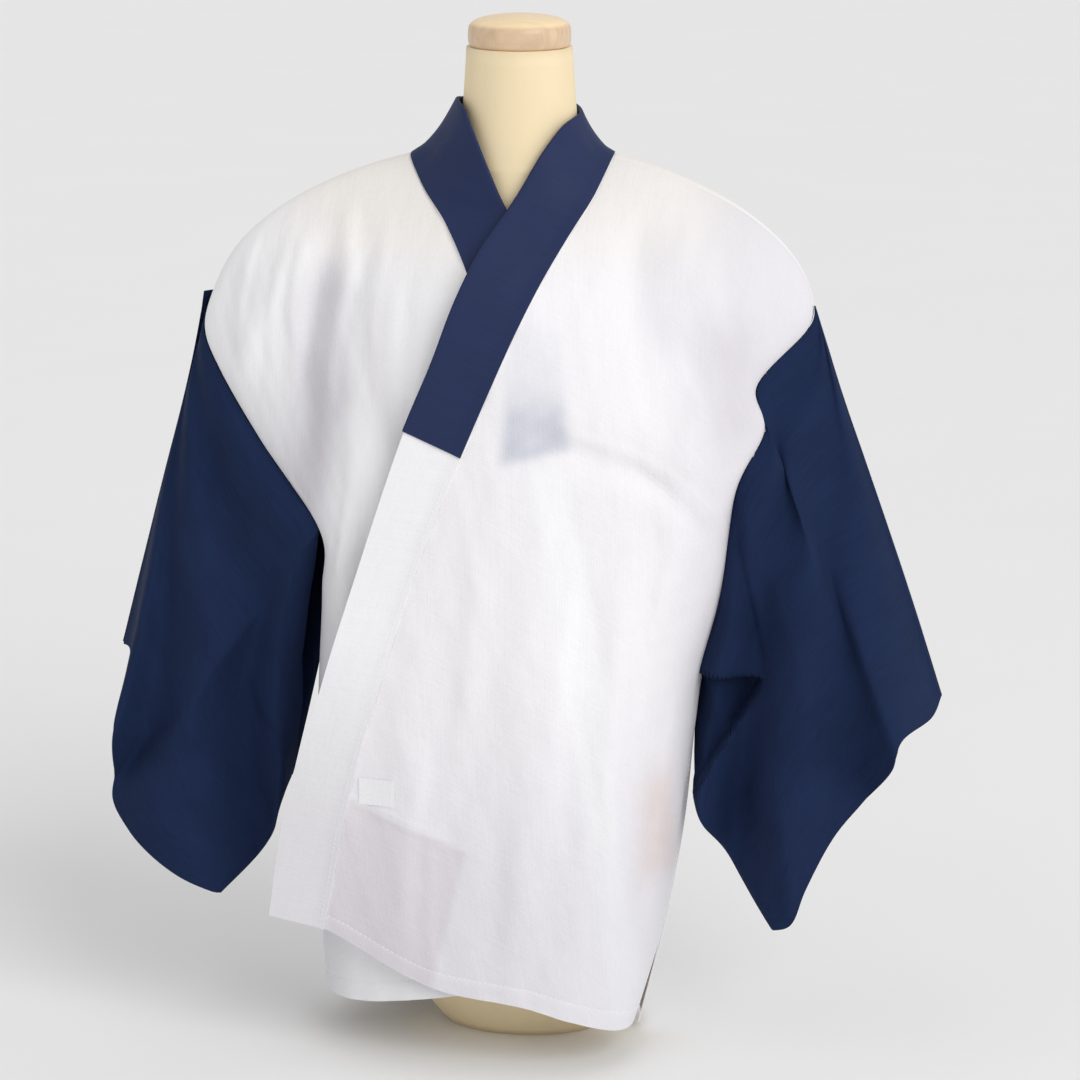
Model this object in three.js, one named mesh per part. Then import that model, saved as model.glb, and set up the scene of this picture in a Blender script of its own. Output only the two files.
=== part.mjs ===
// A hanjuban (short kimono under-robe) with a detachable half collar, standing on a limbless dress form.
// Millimetres, +Z up. The origin is the centre of the form's flat base. The front faces -Y.
// The wearer's left is +X. The wearer's left front lies over the right front.
import * as THREE from 'three';

// ---------- driving sizes ----------
const CLOTH = 1.2; // wall of the cotton panels
const COLLAR_CLOTH = 1.2; // wall of the collar band
const HALF_COLLAR_CLOTH = 1.0; // wall of the half collar
const SEAM = 0.3; // play between two pieces at a seam
const HALF_COLLAR_PLAY = 0.75; // between the band and the half collar folded round it
const TUCK = 11; // how far the under front lies behind the outer one
const LAST_ARMHOLE_ROW = 4; // rows 0 to 4 end on the armhole, the rest on the side of the body
const LAST_ROW = 10; // the row that lies just under the hems
// Places down the sections where the panels have their rows along the neck line and the armhole.
const NECK_ROWS = [0, 0.45, 0.9, 1.3, 1.65, 1.88, 2];
const LAST_NECK_ROW = NECK_ROWS[NECK_ROWS.length - 1];
const ARMHOLE_ROWS = [...NECK_ROWS, 2.5, 3, 3.5, 4];
const ARMHOLE_STEPS = ARMHOLE_ROWS.length - 1;
const SKIRT_STEPS = 11;
const PANEL_COLUMNS = 16;
const BODY_EDGE_GAP = 0.8; // front and back edges of one body length along the side seam

// ---------- tables ----------
// Sections of the front, from the shoulder ridge down. y and z are the cloth at x = 0, left and right its outer
// edge. round is the superellipse exponent, swell how far the section bows out of a straight line, and lag how
// soon the section drops to its edge's height.
const FRONT_SECTIONS = [
  { y: 10, z: 804, left: [-268, 0, 670], right: [256, 0, 671], round: 1.8, swell: 1, lag: 0 },
  { y: -64, z: 762, left: [-277, -13, 640], right: [252, -8, 650], round: 1.9, swell: 0.8, lag: 0.35 },
  { y: -104, z: 708, left: [-259, -36, 607], right: [213, -42, 607], round: 2, swell: 0.65, lag: 0.7 },
  { y: -120, z: 650, left: [-219, -57, 550], right: [221, -52, 570], round: 2, swell: 0.6, lag: 1 },
  { y: -127, z: 580, left: [-163, -77, 475], right: [198, -66, 518], round: 2, swell: 0.7, lag: 1 },
  { y: -128, z: 480, left: [-164, -62, 420], right: [185, -42, 428], round: 2.1, swell: 0.85, lag: 1 },
  { y: -127, z: 375, left: [-173, -28, 350], right: [165, -10, 348], round: 2.2, swell: 1, lag: 1 },
  { y: -126, z: 290, left: [-179, -6, 290], right: [157, -5, 290], round: 2.3, swell: 1, lag: 1 },
  { y: -125, z: 200, left: [-180, -5, 200], right: [148, -7, 200], round: 2.4, swell: 1, lag: 1 },
  { y: -123, z: 105, left: [-177, -7, 105], right: [131, -13, 105], round: 2.4, swell: 1, lag: 1 },
  { y: -120, z: 8, left: [-169, -14, 8], right: [104, -44, 8], round: 2.4, swell: 1, lag: 1 },
];
// Sections of the back, likewise. Their armhole edges have the front ones' x and z.
const BACK_SECTIONS = [
  { y: 10, z: 804, left: [-268, 0, 670], right: [256, 0, 671], round: 1.8, swell: 1, lag: 0 },
  { y: 53, z: 797, left: [-277, 11, 640], right: [252, 10, 650], round: 1.8, swell: 0.9, lag: 0.2 },
  { y: 86, z: 779, left: [-259, 36, 607], right: [213, 38, 607], round: 1.9, swell: 0.8, lag: 0.5 },
  { y: 103, z: 725, left: [-219, 59, 550], right: [221, 56, 570], round: 2, swell: 0.7, lag: 0.8 },
  { y: 110, z: 650, left: [-163, 76, 475], right: [198, 74, 518], round: 2, swell: 0.7, lag: 1 },
  { y: 113, z: 530, left: [-164, 48, 420], right: [185, 44, 428], round: 2.1, swell: 0.85, lag: 1 },
  { y: 113, z: 400, left: [-173, 14, 350], right: [165, 8, 348], round: 2.2, swell: 1, lag: 1 },
  { y: 113, z: 290, left: [-179, -6, 290], right: [157, -5, 290], round: 2.3, swell: 1, lag: 1 },
  { y: 113, z: 200, left: [-180, -5, 200], right: [148, -7, 200], round: 2.4, swell: 1, lag: 1 },
  { y: 112, z: 105, left: [-175, 4, 105], right: [131, 2, 105], round: 2.4, swell: 1, lag: 1 },
  { y: 110, z: 4, left: [-166, 12, 4], right: [107, 6, 4], round: 2.7, swell: 1, lag: 1 },
];
// Where the outer front runs on past the middle it flies clear of the body: its x and y at full reach.
const FLARE = { reach: 230, bend: 32 };

// Lines drawn on the fronts: for a height z, the x of each edge.
const OUTER_SEAM = [[100, -163], [132, -156], [260, -130], [369, -98], [468, -66], [554, -31], [636, 4], [686, 26],
  [733, 51], [762, 67], [782, 75], [796, 79.3], [804, 81]];
const OUTER_FREE = [[100, -213], [135, -208], [224, -193], [299, -170], [413, -134], [570, -81], [650, -48],
  [706, -28], [754, 0]];
const UNDER_SEAM = [[50, 82], [96, 76], [191, 65], [285, 52], [404, 34], [555, 7], [641, -10], [706, -30], [743, -53],
  [766, -73], [781, -85], [792.3, -94], [804, -97]];
const UNDER_FREE = [[50, 128], [104, 122], [199, 111], [298, 101], [419, 89], [570, 59], [660, 40], [723, 16],
  [754, -1]];
// Hems: for an x, the height z.
const OUTER_HEM = [[-213, 134], [-156, 121], [-61, 76], [20, 62], [70, 44], [108, 27]];
const UNDER_HEM = [[-180, 44], [-129, 48], [-65, 60], [30, 80], [128, 104]];
const BACK_HEM = [[-178, 36], [-90, 18], [0, 13], [70, 10], [115, 8]];

// The neck line behind the shoulders is half an ellipse on each side. seam is its x on the shoulder ridge, and
// freeZ the height of the collar's free edge there.
const NECK_LINE = {
  left: { seam: 79.3, freeZ: 831 },
  right: { seam: -94, freeZ: 843 },
  freeX: 53.5,
  freeFront: 0,
  freeBack: 64,
  freeBackZ: 838,
};
// Where the collar leaves the chest and climbs to the neck, on each side.
const CLIMB = {
  outer: [
    { seamZ: 733, free: [1, -70, 755] },
    { seamZ: 747, free: [11, -60, 771] },
    { seamZ: 765, free: [29, -49, 803] },
    { seamZ: 782, free: [44, -32, 824] },
  ],
  under: [
    { seamZ: 743, free: [-1, -60, 753] },
    { seamZ: 754, free: [-11, -57, 772] },
    { seamZ: 768, free: [-28, -49, 809] },
    { seamZ: 781, free: [-42, -34, 836] },
  ],
};
// The half collar ends on the band at these heights of its free edge.
const HALF_COLLAR_END = { outer: 570, under: 566 };

// Soft folds drawn on the body: from and to are x and z, depth is out of the cloth, width its spread.
const FRONT_FOLDS = [
  { from: [-158, 745], to: [-176, 500], depth: -6, width: 17 },
  { from: [-196, 735], to: [-236, 610], depth: 5, width: 15 },
  { from: [-122, 700], to: [-118, 520], depth: 5, width: 17 },
  { from: [-142, 480], to: [-150, 230], depth: 5, width: 17 },
  { from: [122, 735], to: [156, 600], depth: -5, width: 20 },
  { from: [40, 570], to: [170, 520], depth: -4, width: 15 },
  { from: [176, 640], to: [140, 430], depth: 5, width: 18 },
  { from: [110, 480], to: [96, 120], depth: 5, width: 20 },
  { from: [30, 420], to: [16, 90], depth: 4, width: 24 },
  { from: [-78, 330], to: [-96, 110], depth: 3, width: 20 },
];
const BACK_FOLDS = [
  { from: [-150, 700], to: [-120, 380], depth: 6, width: 20 },
  { from: [150, 690], to: [118, 360], depth: 6, width: 20 },
  { from: [-60, 640], to: [-70, 60], depth: 5, width: 24 },
  { from: [66, 600], to: [60, 40], depth: 5, width: 24 },
  { from: [-112, 420], to: [-128, 60], depth: -5, width: 18 },
  { from: [112, 400], to: [92, 40], depth: -5, width: 18 },
];

// Sleeves: fold is the shoulder fold from the armhole to the cuff, cuff the edge from there to the bottom,
// bottom the seam from the body side to the cuff, swing the open edge from under the arm to the bottom, and
// turn how far the front leaf's open edge turns outward.
const SLEEVES = {
  sleeve_left: {
    sign: 1,
    fold: [[256, 0, 671], [280, 12, 593], [315, 22, 492], [347, 30, 398], [373, 34, 318]],
    cuff: [[373, 34, 318], [367, 8, 306], [344, -28, 299], [336, -38, 272], [309, -38, 233], [284, -38, 201],
      [262, -36, 158], [250, -32, 128], [233, -28, 121]],
    bottom: [[156, -18, 236], [174, -24, 202], [196, -27, 163], [233, -28, 121]],
    swing: [[198, 4, 518], [189, 8, 456], [178, 12, 394], [165, 8, 318], [156, -18, 236]],
    turn: 48,
    waves: 3,
  },
  sleeve_right: {
    sign: -1,
    fold: [[-268, 0, 670], [-300, 16, 575], [-329, 28, 488], [-352, 36, 411], [-373, 40, 336]],
    cuff: [[-373, 40, 336], [-354, 0, 334], [-358, -22, 282], [-363, -32, 240], [-368, -36, 206], [-347, -38, 181],
      [-303, -36, 150], [-264, -30, 131]],
    bottom: [[-201, -22, 236], [-213, -28, 200], [-232, -32, 163], [-264, -30, 131]],
    swing: [[-163, 0, 475], [-172, 0, 420], [-180, -4, 360], [-190, -12, 296], [-201, -22, 236]],
    turn: 14,
    waves: 3,
  },
};
const SLEEVE = {
  width: 340,
  drop: 490,
  armholeShare: 0.49, // of the drop, sewn to the body
  cuffOpening: 0.48, // of the drop, open at the wrist
  cuffGape: 15,
  seamGap: 1.9,
  flute: 25,
  part: 1.6, // from the middle of the body's wall to the sleeve's at the armhole
  topShare: 0.12, // of the drop, parted further at the top of the armhole
  columns: 18,
  swingSteps: 8,
};

// The dress form: halfWidth, front and back are its outline at height z, round the section's exponent.
const FORM_SECTIONS = [
  { z: 0, halfWidth: 70, front: -22, back: 72, round: 2 },
  { z: 14, halfWidth: 84, front: -34, back: 80, round: 2 },
  { z: 50, halfWidth: 102, front: -56, back: 88, round: 2.1 },
  { z: 110, halfWidth: 118, front: -78, back: 92, round: 2.2 },
  { z: 200, halfWidth: 136, front: -90, back: 98, round: 2.2 },
  { z: 280, halfWidth: 138, front: -90, back: 98, round: 2.2 },
  { z: 360, halfWidth: 122, front: -80, back: 90, round: 2.1 },
  { z: 440, halfWidth: 110, front: -74, back: 84, round: 2.1 },
  { z: 530, halfWidth: 122, front: -84, back: 88, round: 2.1 },
  { z: 610, halfWidth: 134, front: -94, back: 92, round: 2.1 },
  { z: 670, halfWidth: 146, front: -84, back: 92, round: 2 },
  { z: 715, halfWidth: 157, front: -62, back: 84, round: 1.9 },
  { z: 745, halfWidth: 163, front: -44, back: 74, round: 1.6 },
];
// Above these the shoulders follow the cloth's ridge, this far under it, and then the neck stands on them.
const SHOULDER_HEIGHTS = [762, 771, 779, 785];
const SHOULDER = { clearance: 1.8, ridgeY: 9, deepest: 44, shallowest: 34, round: 1.06 };
const NECK = [
  { z: 788.5, radius: 55 },
  { z: 794, radius: 54 },
  { z: 804, radius: 53 },
  { z: 818, radius: 51.5 },
  { z: 836, radius: 49.5 },
  { z: 862, radius: 48 },
  { z: 889, radius: 46 },
];
const NECK_Y = 6;
// The neck runs on down into the shoulders: its radius at a height.
const NECK_ROOT = [[745, 60], [762, 58], [785, 55.5]];
const FORM_SIDES = 28;
const CAP = { radius: 45, bottom: 889.4, top: 917, edge: 2, dome: 9, sides: 32 };

// A small blank tab beside the band, on the outer front: x and z of its corners.
const TAB = { left: -123, right: -91, low: 240, high: 264, wall: 1, steps: 4, play: 0.9 };

// ---------- small helpers ----------
const vector = (values) => new THREE.Vector3(...values);

function lerp(a, b, t) {
  return a + (b - a) * t;
}

function smooth(t) {
  const x = Math.min(1, Math.max(0, t));
  return x * x * (3 - 2 * x);
}

// A cubic through four values in a row, between the middle two.
function cubic(before, from, to, after, t) {
  const rise = (to - before) / 2;
  const fall = (after - from) / 2;
  const bend = 3 * (to - from) - 2 * rise - fall;
  const twist = 2 * (from - to) + rise + fall;
  return from + t * (rise + t * (bend + t * twist));
}

function mix4(a, b, c, d, t) {
  if (Array.isArray(a)) return a.map((value, i) => cubic(value, b[i], c[i], d[i], t));
  return cubic(a, b, c, d, t);
}

// The section at a place between two rows of a table. mirror continues the first row the other way.
function sectionAt(sections, row, over) {
  const last = sections.length - 1;
  const low = Math.min(last - 1, Math.max(0, Math.floor(row)));
  const t = row - low;
  const before = low === 0 ? over[1] : sections[low - 1];
  const after = sections[Math.min(last, low + 2)];
  const section = {};
  for (const key of Object.keys(sections[0])) {
    section[key] = mix4(before[key], sections[low][key], sections[low + 1][key], after[key], t);
  }
  return section;
}

// A smooth curve through [at, value] pairs.
function along(pairs, at) {
  const last = pairs.length - 1;
  let low = 0;
  while (low < last - 1 && at > pairs[low + 1][0]) low += 1;
  const slope = (i) => {
    const a = pairs[Math.max(0, i - 1)];
    const b = pairs[Math.min(last, i + 1)];
    return (b[1] - a[1]) / (b[0] - a[0]);
  };
  const [x0, y0] = pairs[low];
  const [x1, y1] = pairs[low + 1];
  const span = x1 - x0;
  const t = Math.min(1.2, Math.max(-0.2, (at - x0) / span));
  const rise = slope(low) * span;
  const fall = slope(low + 1) * span;
  return y0 + t * (rise + t * (3 * (y1 - y0) - 2 * rise - fall + t * (2 * (y0 - y1) + rise + fall)));
}

// Halves a range until the growing function crosses zero.
function solve(low, high, grows) {
  let a = low;
  let b = high;
  for (let i = 0; i < 34; i += 1) {
    const middle = (a + b) / 2;
    if (grows(middle) < 0) a = middle;
    else b = middle;
  }
  return (a + b) / 2;
}

function foldsAt(folds, x, z) {
  let out = 0;
  for (const { from, to, depth, width } of folds) {
    const run = [to[0] - from[0], to[1] - from[1]];
    const length = Math.hypot(...run);
    const share = ((x - from[0]) * run[0] + (z - from[1]) * run[1]) / length ** 2;
    const aside = ((x - from[0]) * run[1] - (z - from[1]) * run[0]) / length;
    const ends = smooth((share + 0.25) / 0.5) * smooth((1.25 - share) / 0.5);
    out += depth * ends * Math.exp(-((aside / width) ** 2));
  }
  return out;
}

// ---------- surfaces of the worn cloth ----------
// across runs from -1 at the wearer's right edge, over 0 at the middle, to 1 at the left edge.
function quarter(section, edge, across) {
  const angle = (across * Math.PI) / 2;
  const power = 2 / section.round;
  const out = Math.sin(angle) ** power;
  const down = Math.cos(angle) ** power;
  const y = lerp(section.y, edge[1], lerp(out, 1 - down, section.swell));
  const corner = lerp(section.z, edge[2], section.lag);
  const z = corner + (section.z - corner) * (1 - out) + (edge[2] - corner) * (1 - down);
  return new THREE.Vector3(edge[0] * out, y, z);
}

function drape(sections, over, row, across) {
  const section = sectionAt(sections, row, over);
  return across < 0 ? quarter(section, section.left, -across) : quarter(section, section.right, across);
}

// Folds fade at the panels' edges, so that the seams stay where they are.
function folded(point, folds, facing, row, across) {
  const fade = smooth((1 - Math.abs(across)) * 6) * smooth(row);
  point.y += facing * fade * foldsAt(folds, point.x, point.z);
  return point;
}

function outerFront(row, across) {
  const point = drape(FRONT_SECTIONS, BACK_SECTIONS, row, across);
  if (across < 0) {
    const section = sectionAt(FRONT_SECTIONS, row, BACK_SECTIONS);
    point.set(FLARE.reach * across, section.y + FLARE.bend * across ** 2, section.z);
  }
  return folded(point, FRONT_FOLDS, -1, row, across);
}

function front(row, across) {
  return folded(drape(FRONT_SECTIONS, BACK_SECTIONS, row, across), FRONT_FOLDS, -1, row, across);
}

function back(row, across) {
  return folded(drape(BACK_SECTIONS, FRONT_SECTIONS, row, across), BACK_FOLDS, 1, row, across);
}

// The way out of the cloth, from the surface's two directions.
function outOf(surface, row, across, facing) {
  const step = 0.01;
  const a = Math.min(1 - step, Math.max(step - 1, across));
  const r = Math.max(step, row);
  const side = surface(r, a + step).sub(surface(r, a - step));
  const down = surface(r + step, a).sub(surface(r - step, a));
  return facing < 0 ? down.cross(side).normalize() : side.cross(down).normalize();
}

function underFront(row, across) {
  const inward = TUCK * smooth(row / 1.3) * smooth((1 + Math.min(0, across)) * 1.4);
  const point = front(row, across);
  return point.addScaledVector(outOf(front, row, across, -1), -inward);
}

// The row and across of a surface that lie at x and z.
function placeAt(surface, x, z) {
  const acrossAt = (row) => solve(-1, 1, (across) => surface(row, across).x - x);
  const row = solve(0, LAST_ROW, (at) => z - surface(at, acrossAt(at)).z);
  return { row, across: acrossAt(row) };
}

function pointAt(surface, x, z) {
  const { row, across } = placeAt(surface, x, z);
  return surface(row, across);
}

// ---------- solids ----------
function meshOf(name, points, faces, colour, roughness) {
  let volume = 0;
  for (const [a, b, c] of faces) volume += points[a].dot(points[b].clone().cross(points[c]));
  const turned = volume < 0 ? faces.map(([a, b, c]) => [a, c, b]) : faces;
  const geometry = new THREE.BufferGeometry();
  geometry.setAttribute('position', new THREE.Float32BufferAttribute(points.flatMap((p) => p.toArray()), 3));
  geometry.setIndex(turned.flat());
  const mesh = new THREE.Mesh(geometry, new THREE.MeshStandardMaterial({ color: colour, roughness, metalness: 0 }));
  mesh.name = name;
  return mesh;
}

// Pushes two triangles for the four corners, split along the shorter way.
function quad(faces, points, a, b, c, d) {
  const first = points[a].distanceToSquared(points[c]);
  const second = points[b].distanceToSquared(points[d]);
  if (first <= second) faces.push([a, b, c], [a, c, d]);
  else faces.push([a, b, d], [b, c, d]);
}

// The way out of a grid's surface at one of its points. In a tube, each row of the grid is a closed ring.
function normalOf(grid, i, j, tube = false) {
  const columns = grid[0].length;
  const column = (at) => (tube ? (at + columns) % columns : Math.min(columns - 1, Math.max(0, at)));
  const down = grid[Math.min(grid.length - 1, i + 1)][j].clone().sub(grid[Math.max(0, i - 1)][j]);
  const side = grid[i][column(j + 1)].clone().sub(grid[i][column(j - 1)]);
  return down.cross(side).normalize();
}

// A wall of even thickness about a grid of points.
function wall(name, grid, thickness, colour, tube = false) {
  const rows = grid.length;
  const columns = grid[0].length;
  const points = [];
  for (let i = 0; i < rows; i += 1) {
    for (let j = 0; j < columns; j += 1) {
      const normal = normalOf(grid, i, j, tube).multiplyScalar(thickness / 2);
      points.push(grid[i][j].clone().add(normal), grid[i][j].clone().sub(normal));
    }
  }
  const outer = (i, j) => 2 * (i * columns + (j % columns));
  const inner = (i, j) => outer(i, j) + 1;
  const faces = [];
  const spans = tube ? columns : columns - 1;
  for (let i = 0; i < rows - 1; i += 1) {
    for (let j = 0; j < spans; j += 1) {
      quad(faces, points, outer(i, j), outer(i + 1, j), outer(i + 1, j + 1), outer(i, j + 1));
      quad(faces, points, inner(i, j), inner(i, j + 1), inner(i + 1, j + 1), inner(i + 1, j));
    }
  }
  for (let j = 0; j < spans; j += 1) {
    quad(faces, points, outer(0, j), outer(0, j + 1), inner(0, j + 1), inner(0, j));
    const end = rows - 1;
    quad(faces, points, outer(end, j + 1), outer(end, j), inner(end, j), inner(end, j + 1));
  }
  if (!tube) {
    for (let i = 0; i < rows - 1; i += 1) {
      quad(faces, points, outer(i + 1, 0), outer(i, 0), inner(i, 0), inner(i + 1, 0));
      const end = columns - 1;
      quad(faces, points, outer(i, end), outer(i + 1, end), inner(i + 1, end), inner(i, end));
    }
  }
  return meshOf(name, points, faces, colour, 0.9);
}

// ---------- body lengths ----------
// Rows of a panel, as whole places down its sections: the armhole first, then on to the hem.
const PANEL_ROWS = [...ARMHOLE_ROWS];
for (let i = 1; i <= SKIRT_STEPS; i += 1) {
  PANEL_ROWS.push(lerp(LAST_ARMHOLE_ROW, LAST_ROW, i / SKIRT_STEPS));
}

// The across of the inner edge in a row, where the surface meets a seam given as x for a z.
function edgeAcross(surface, seam, row) {
  return solve(-1, 1, (across) => {
    const point = surface(row, across);
    return point.x - along(seam, point.z);
  });
}

// One panel: a grid whose rows go down from the shoulder and whose columns go from the inner edge to the side.
function panel(surface, side, inner, hem) {
  const acrossAt = (row, column) => {
    const start = inner(row);
    return lerp(start, side, column / PANEL_COLUMNS);
  };
  const lengths = [];
  for (let column = 0; column <= PANEL_COLUMNS; column += 1) {
    lengths.push(solve(LAST_ARMHOLE_ROW + 1, LAST_ROW, (row) => {
      const point = surface(row, acrossAt(row, column));
      return along(hem, point.x) - point.z;
    }));
  }
  return PANEL_ROWS.map((place) => {
    const grid = [];
    for (let column = 0; column <= PANEL_COLUMNS; column += 1) {
      const stretch = (lengths[column] - LAST_ARMHOLE_ROW) / (LAST_ROW - LAST_ARMHOLE_ROW);
      const below = Math.max(0, place - LAST_ARMHOLE_ROW);
      const row = Math.min(place, LAST_ARMHOLE_ROW) + below * stretch;
      grid.push(surface(row, acrossAt(row, column)));
    }
    return grid;
  });
}

// Moves the two edges of the side seam apart.
function partSideSeam(grid, facing) {
  for (const row of grid.slice(ARMHOLE_STEPS + 1)) row[PANEL_COLUMNS].y += (facing * BODY_EDGE_GAP) / 2;
}

// The back's inner edge: round the neck line first, then down the middle.
function backInner(side) {
  const { seam } = side > 0 ? NECK_LINE.left : NECK_LINE.right;
  return (row) => {
    const reach = Math.sqrt(Math.max(0, 1 - (row / LAST_NECK_ROW) ** 2));
    const edge = side * Math.max(SEAM, Math.abs(seam) * reach);
    return solve(-1, 1, (across) => back(row, across).x - edge);
  };
}

// The neck line and the collar's free edge above it, at one of the neck rows.
function neckPlace({ seam, freeZ }, row) {
  const round = row / LAST_NECK_ROW;
  const reach = Math.sqrt(1 - round ** 2);
  const across = solve(-1, 1, (at) => back(row, at).x - seam * reach);
  const free = new THREE.Vector3(
    Math.sign(seam) * NECK_LINE.freeX * reach,
    lerp(NECK_LINE.freeFront, NECK_LINE.freeBack, round),
    lerp(freeZ, NECK_LINE.freeBackZ, round),
  );
  return { seam: back(row, across), free };
}

function bodyLength(name, surface, side, seam, hem) {
  const frontGrid = panel(surface, side, (row) => edgeAcross(surface, seam, row), hem);
  const backGrid = panel(back, side, backInner(side), BACK_HEM);
  partSideSeam(frontGrid, -1);
  partSideSeam(backGrid, 1);
  const grid = [...frontGrid.slice(1).reverse(), ...backGrid];
  return { mesh: wall(name, grid, CLOTH, '#f2f1f3'), frontGrid, backGrid };
}

// ---------- collar ----------
const BAND_RISE = [[100, 2], [160, 12], [300, 14], [554, 20], [690, 24], [733, 22]]; // free edge above the seam
const BAND_HEIGHTS = { outer: [121, 170, 225, 290, 360, 430, 500, 554, 610, 660, 700],
  under: [92, 160, 225, 290, 360, 430, 500, 552, 610, 660, 706] };

// The band's seam and free edge, row by row, from one front's hem to the other's.
function bandRows() {
  const fronts = (surface, seamLine, freeLine, heights, climb) => {
    const rows = heights.map((z) => ({
      seam: pointAt(surface, along(seamLine, z), z),
      free: pointAt(surface, along(freeLine, z + along(BAND_RISE, z)), z + along(BAND_RISE, z)),
    }));
    for (const { seamZ, free } of climb) {
      rows.push({ seam: pointAt(surface, along(seamLine, seamZ), seamZ), free: vector(free) });
    }
    return rows;
  };
  const outer = fronts(outerFront, OUTER_SEAM, OUTER_FREE, BAND_HEIGHTS.outer, CLIMB.outer);
  const under = fronts(underFront, UNDER_SEAM, UNDER_FREE, BAND_HEIGHTS.under, CLIMB.under);
  const neck = NECK_ROWS.map((row) => neckPlace(NECK_LINE.left, row));
  const rightNeck = NECK_ROWS.slice(0, -1).map((row) => neckPlace(NECK_LINE.right, row));
  neck.push(...rightNeck.reverse());
  return { rows: [...outer, ...neck, ...under.reverse()], outer: outer.length, neck: neck.length };
}

// sag is how far the band's middle sinks in beside the neck, and halfCollarStart the share of the first column
// that the half collar leaves bare.
const BAND = { columns: 4, sag: 7, steps: 2, flatGap: 0.6, standingGap: 2, halfCollarStart: 0.25 };

// 1 on each side of the neck and 0 on the chest and behind the neck.
function beside(place, neck) {
  const side = (middle) => smooth(1 - Math.abs(place - middle) / 3);
  return side(-0.2) + side(neck - 0.8);
}

// A point of the band, from 0 at the seam to 1 at the free edge.
function acrossBand({ from, to, sag }, t) {
  const point = from.clone().lerp(to, t);
  const inward = new THREE.Vector3(-point.x, NECK_Y - point.y, 0).normalize();
  return point.addScaledVector(inward, sag * 4 * t * (1 - t) * (1 - 0.5 * t));
}

function bandEdges() {
  const { rows, outer, neck } = bandRows();
  const seam = new THREE.CatmullRomCurve3(rows.map((row) => row.seam));
  const free = new THREE.CatmullRomCurve3(rows.map((row) => row.free));
  const count = (rows.length - 1) * BAND.steps;
  const edges = [];
  for (let i = 0; i <= count; i += 1) {
    const place = i / BAND.steps;
    const rise = smooth((place - outer + 7) / 3) * smooth((outer + neck + 6 - place) / 3);
    const from = seam.getPoint(i / count);
    const to = free.getPoint(i / count);
    const gap = lerp(BAND.flatGap, BAND.standingGap, rise) / from.distanceTo(to);
    edges.push({ from: from.lerp(to, gap), to, sag: BAND.sag * beside(place - outer, neck) });
  }
  return edges;
}

function bandGrid(edges) {
  return edges.map((edge) => {
    const row = [];
    for (let j = 0; j <= BAND.columns; j += 1) row.push(acrossBand(edge, j / BAND.columns));
    return row;
  });
}

// The half collar is folded round the band's free edge, from one face to the other.
function halfCollar(grid) {
  const lift = COLLAR_CLOTH / 2 + HALF_COLLAR_PLAY + HALF_COLLAR_CLOTH / 2;
  const last = BAND.columns;
  const folded = [];
  grid.forEach((row, i) => {
    const end = i < grid.length / 2 ? HALF_COLLAR_END.outer : HALF_COLLAR_END.under;
    if (row[last].z <= end) return;
    const faces = [1, -1].map((sign) => {
      const face = row.map((point, j) => point.clone().addScaledVector(normalOf(grid, i, j), sign * lift));
      face[0].lerp(face[1], BAND.halfCollarStart);
      return face;
    });
    const tip = row[last].clone().add(row[last].clone().sub(row[last - 1]).setLength(lift));
    folded.push([...faces[0], tip, ...faces[1].reverse()]);
  });
  return wall('half_collar', folded, HALF_COLLAR_CLOTH, '#25376a');
}

// ---------- sleeves ----------
function curve(points) {
  return new THREE.CatmullRomCurve3(points.map(vector));
}

// The middle of the sleeve between its two leaves, and half the room between them.
function sleeveFrame({ sign, fold, cuff, bottom, swing, waves }, armhole) {
  const lines = { fold: curve(fold), cuff: curve(cuff), bottom: curve(bottom), swing: curve(swing) };
  const bodySide = (drop, step) => {
    if (step <= ARMHOLE_STEPS) {
      const { front: fore, back: rear } = armhole(step);
      return { point: fore.clone().add(rear).multiplyScalar(0.5), room: (rear.y - fore.y) / 2 };
    }
    const t = (drop - SLEEVE.armholeShare) / (1 - SLEEVE.armholeShare);
    const { front: fore, back: rear } = armhole(ARMHOLE_STEPS);
    return { point: lines.swing.getPoint(t), room: lerp(SLEEVE.seamGap, (rear.y - fore.y) / 2, (1 - t) ** 1.4) };
  };
  const corners = { a: lines.fold.getPoint(0), b: lines.fold.getPoint(1), c: lines.bottom.getPoint(1),
    d: lines.bottom.getPoint(0) };
  return (across, drop, step) => {
    const { point: body, room: bodyRoom } = bodySide(drop, step);
    const gape = SLEEVE.cuffGape * Math.sin(Math.PI * Math.min(1, drop / SLEEVE.cuffOpening));
    const middle = body.multiplyScalar(1 - across)
      .addScaledVector(lines.cuff.getPoint(drop), across)
      .addScaledVector(lines.fold.getPoint(across), 1 - drop)
      .addScaledVector(lines.bottom.getPoint(across), drop)
      .addScaledVector(corners.a, -(1 - across) * (1 - drop))
      .addScaledVector(corners.b, -across * (1 - drop))
      .addScaledVector(corners.c, -across * drop)
      .addScaledVector(corners.d, -(1 - across) * drop);
    const wide = across * SLEEVE.width;
    const deep = drop * SLEEVE.drop;
    const fan = Math.atan2(deep, wide) / (Math.PI / 2);
    const reach = Math.hypot(wide, deep) / Math.hypot(SLEEVE.width, SLEEVE.drop);
    middle.y += SLEEVE.flute * reach ** 1.2 * Math.sin(2 * Math.PI * waves * fan);
    const parted = SLEEVE.part * (1 - across);
    const top = smooth(1 - drop / SLEEVE.topShare);
    middle.x += sign * parted * (1 + 0.5 * top);
    middle.z -= parted * 0.5 * top;
    return { middle, room: lerp(bodyRoom, SLEEVE.seamGap + Math.max(0, gape), across) };
  };
}

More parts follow.
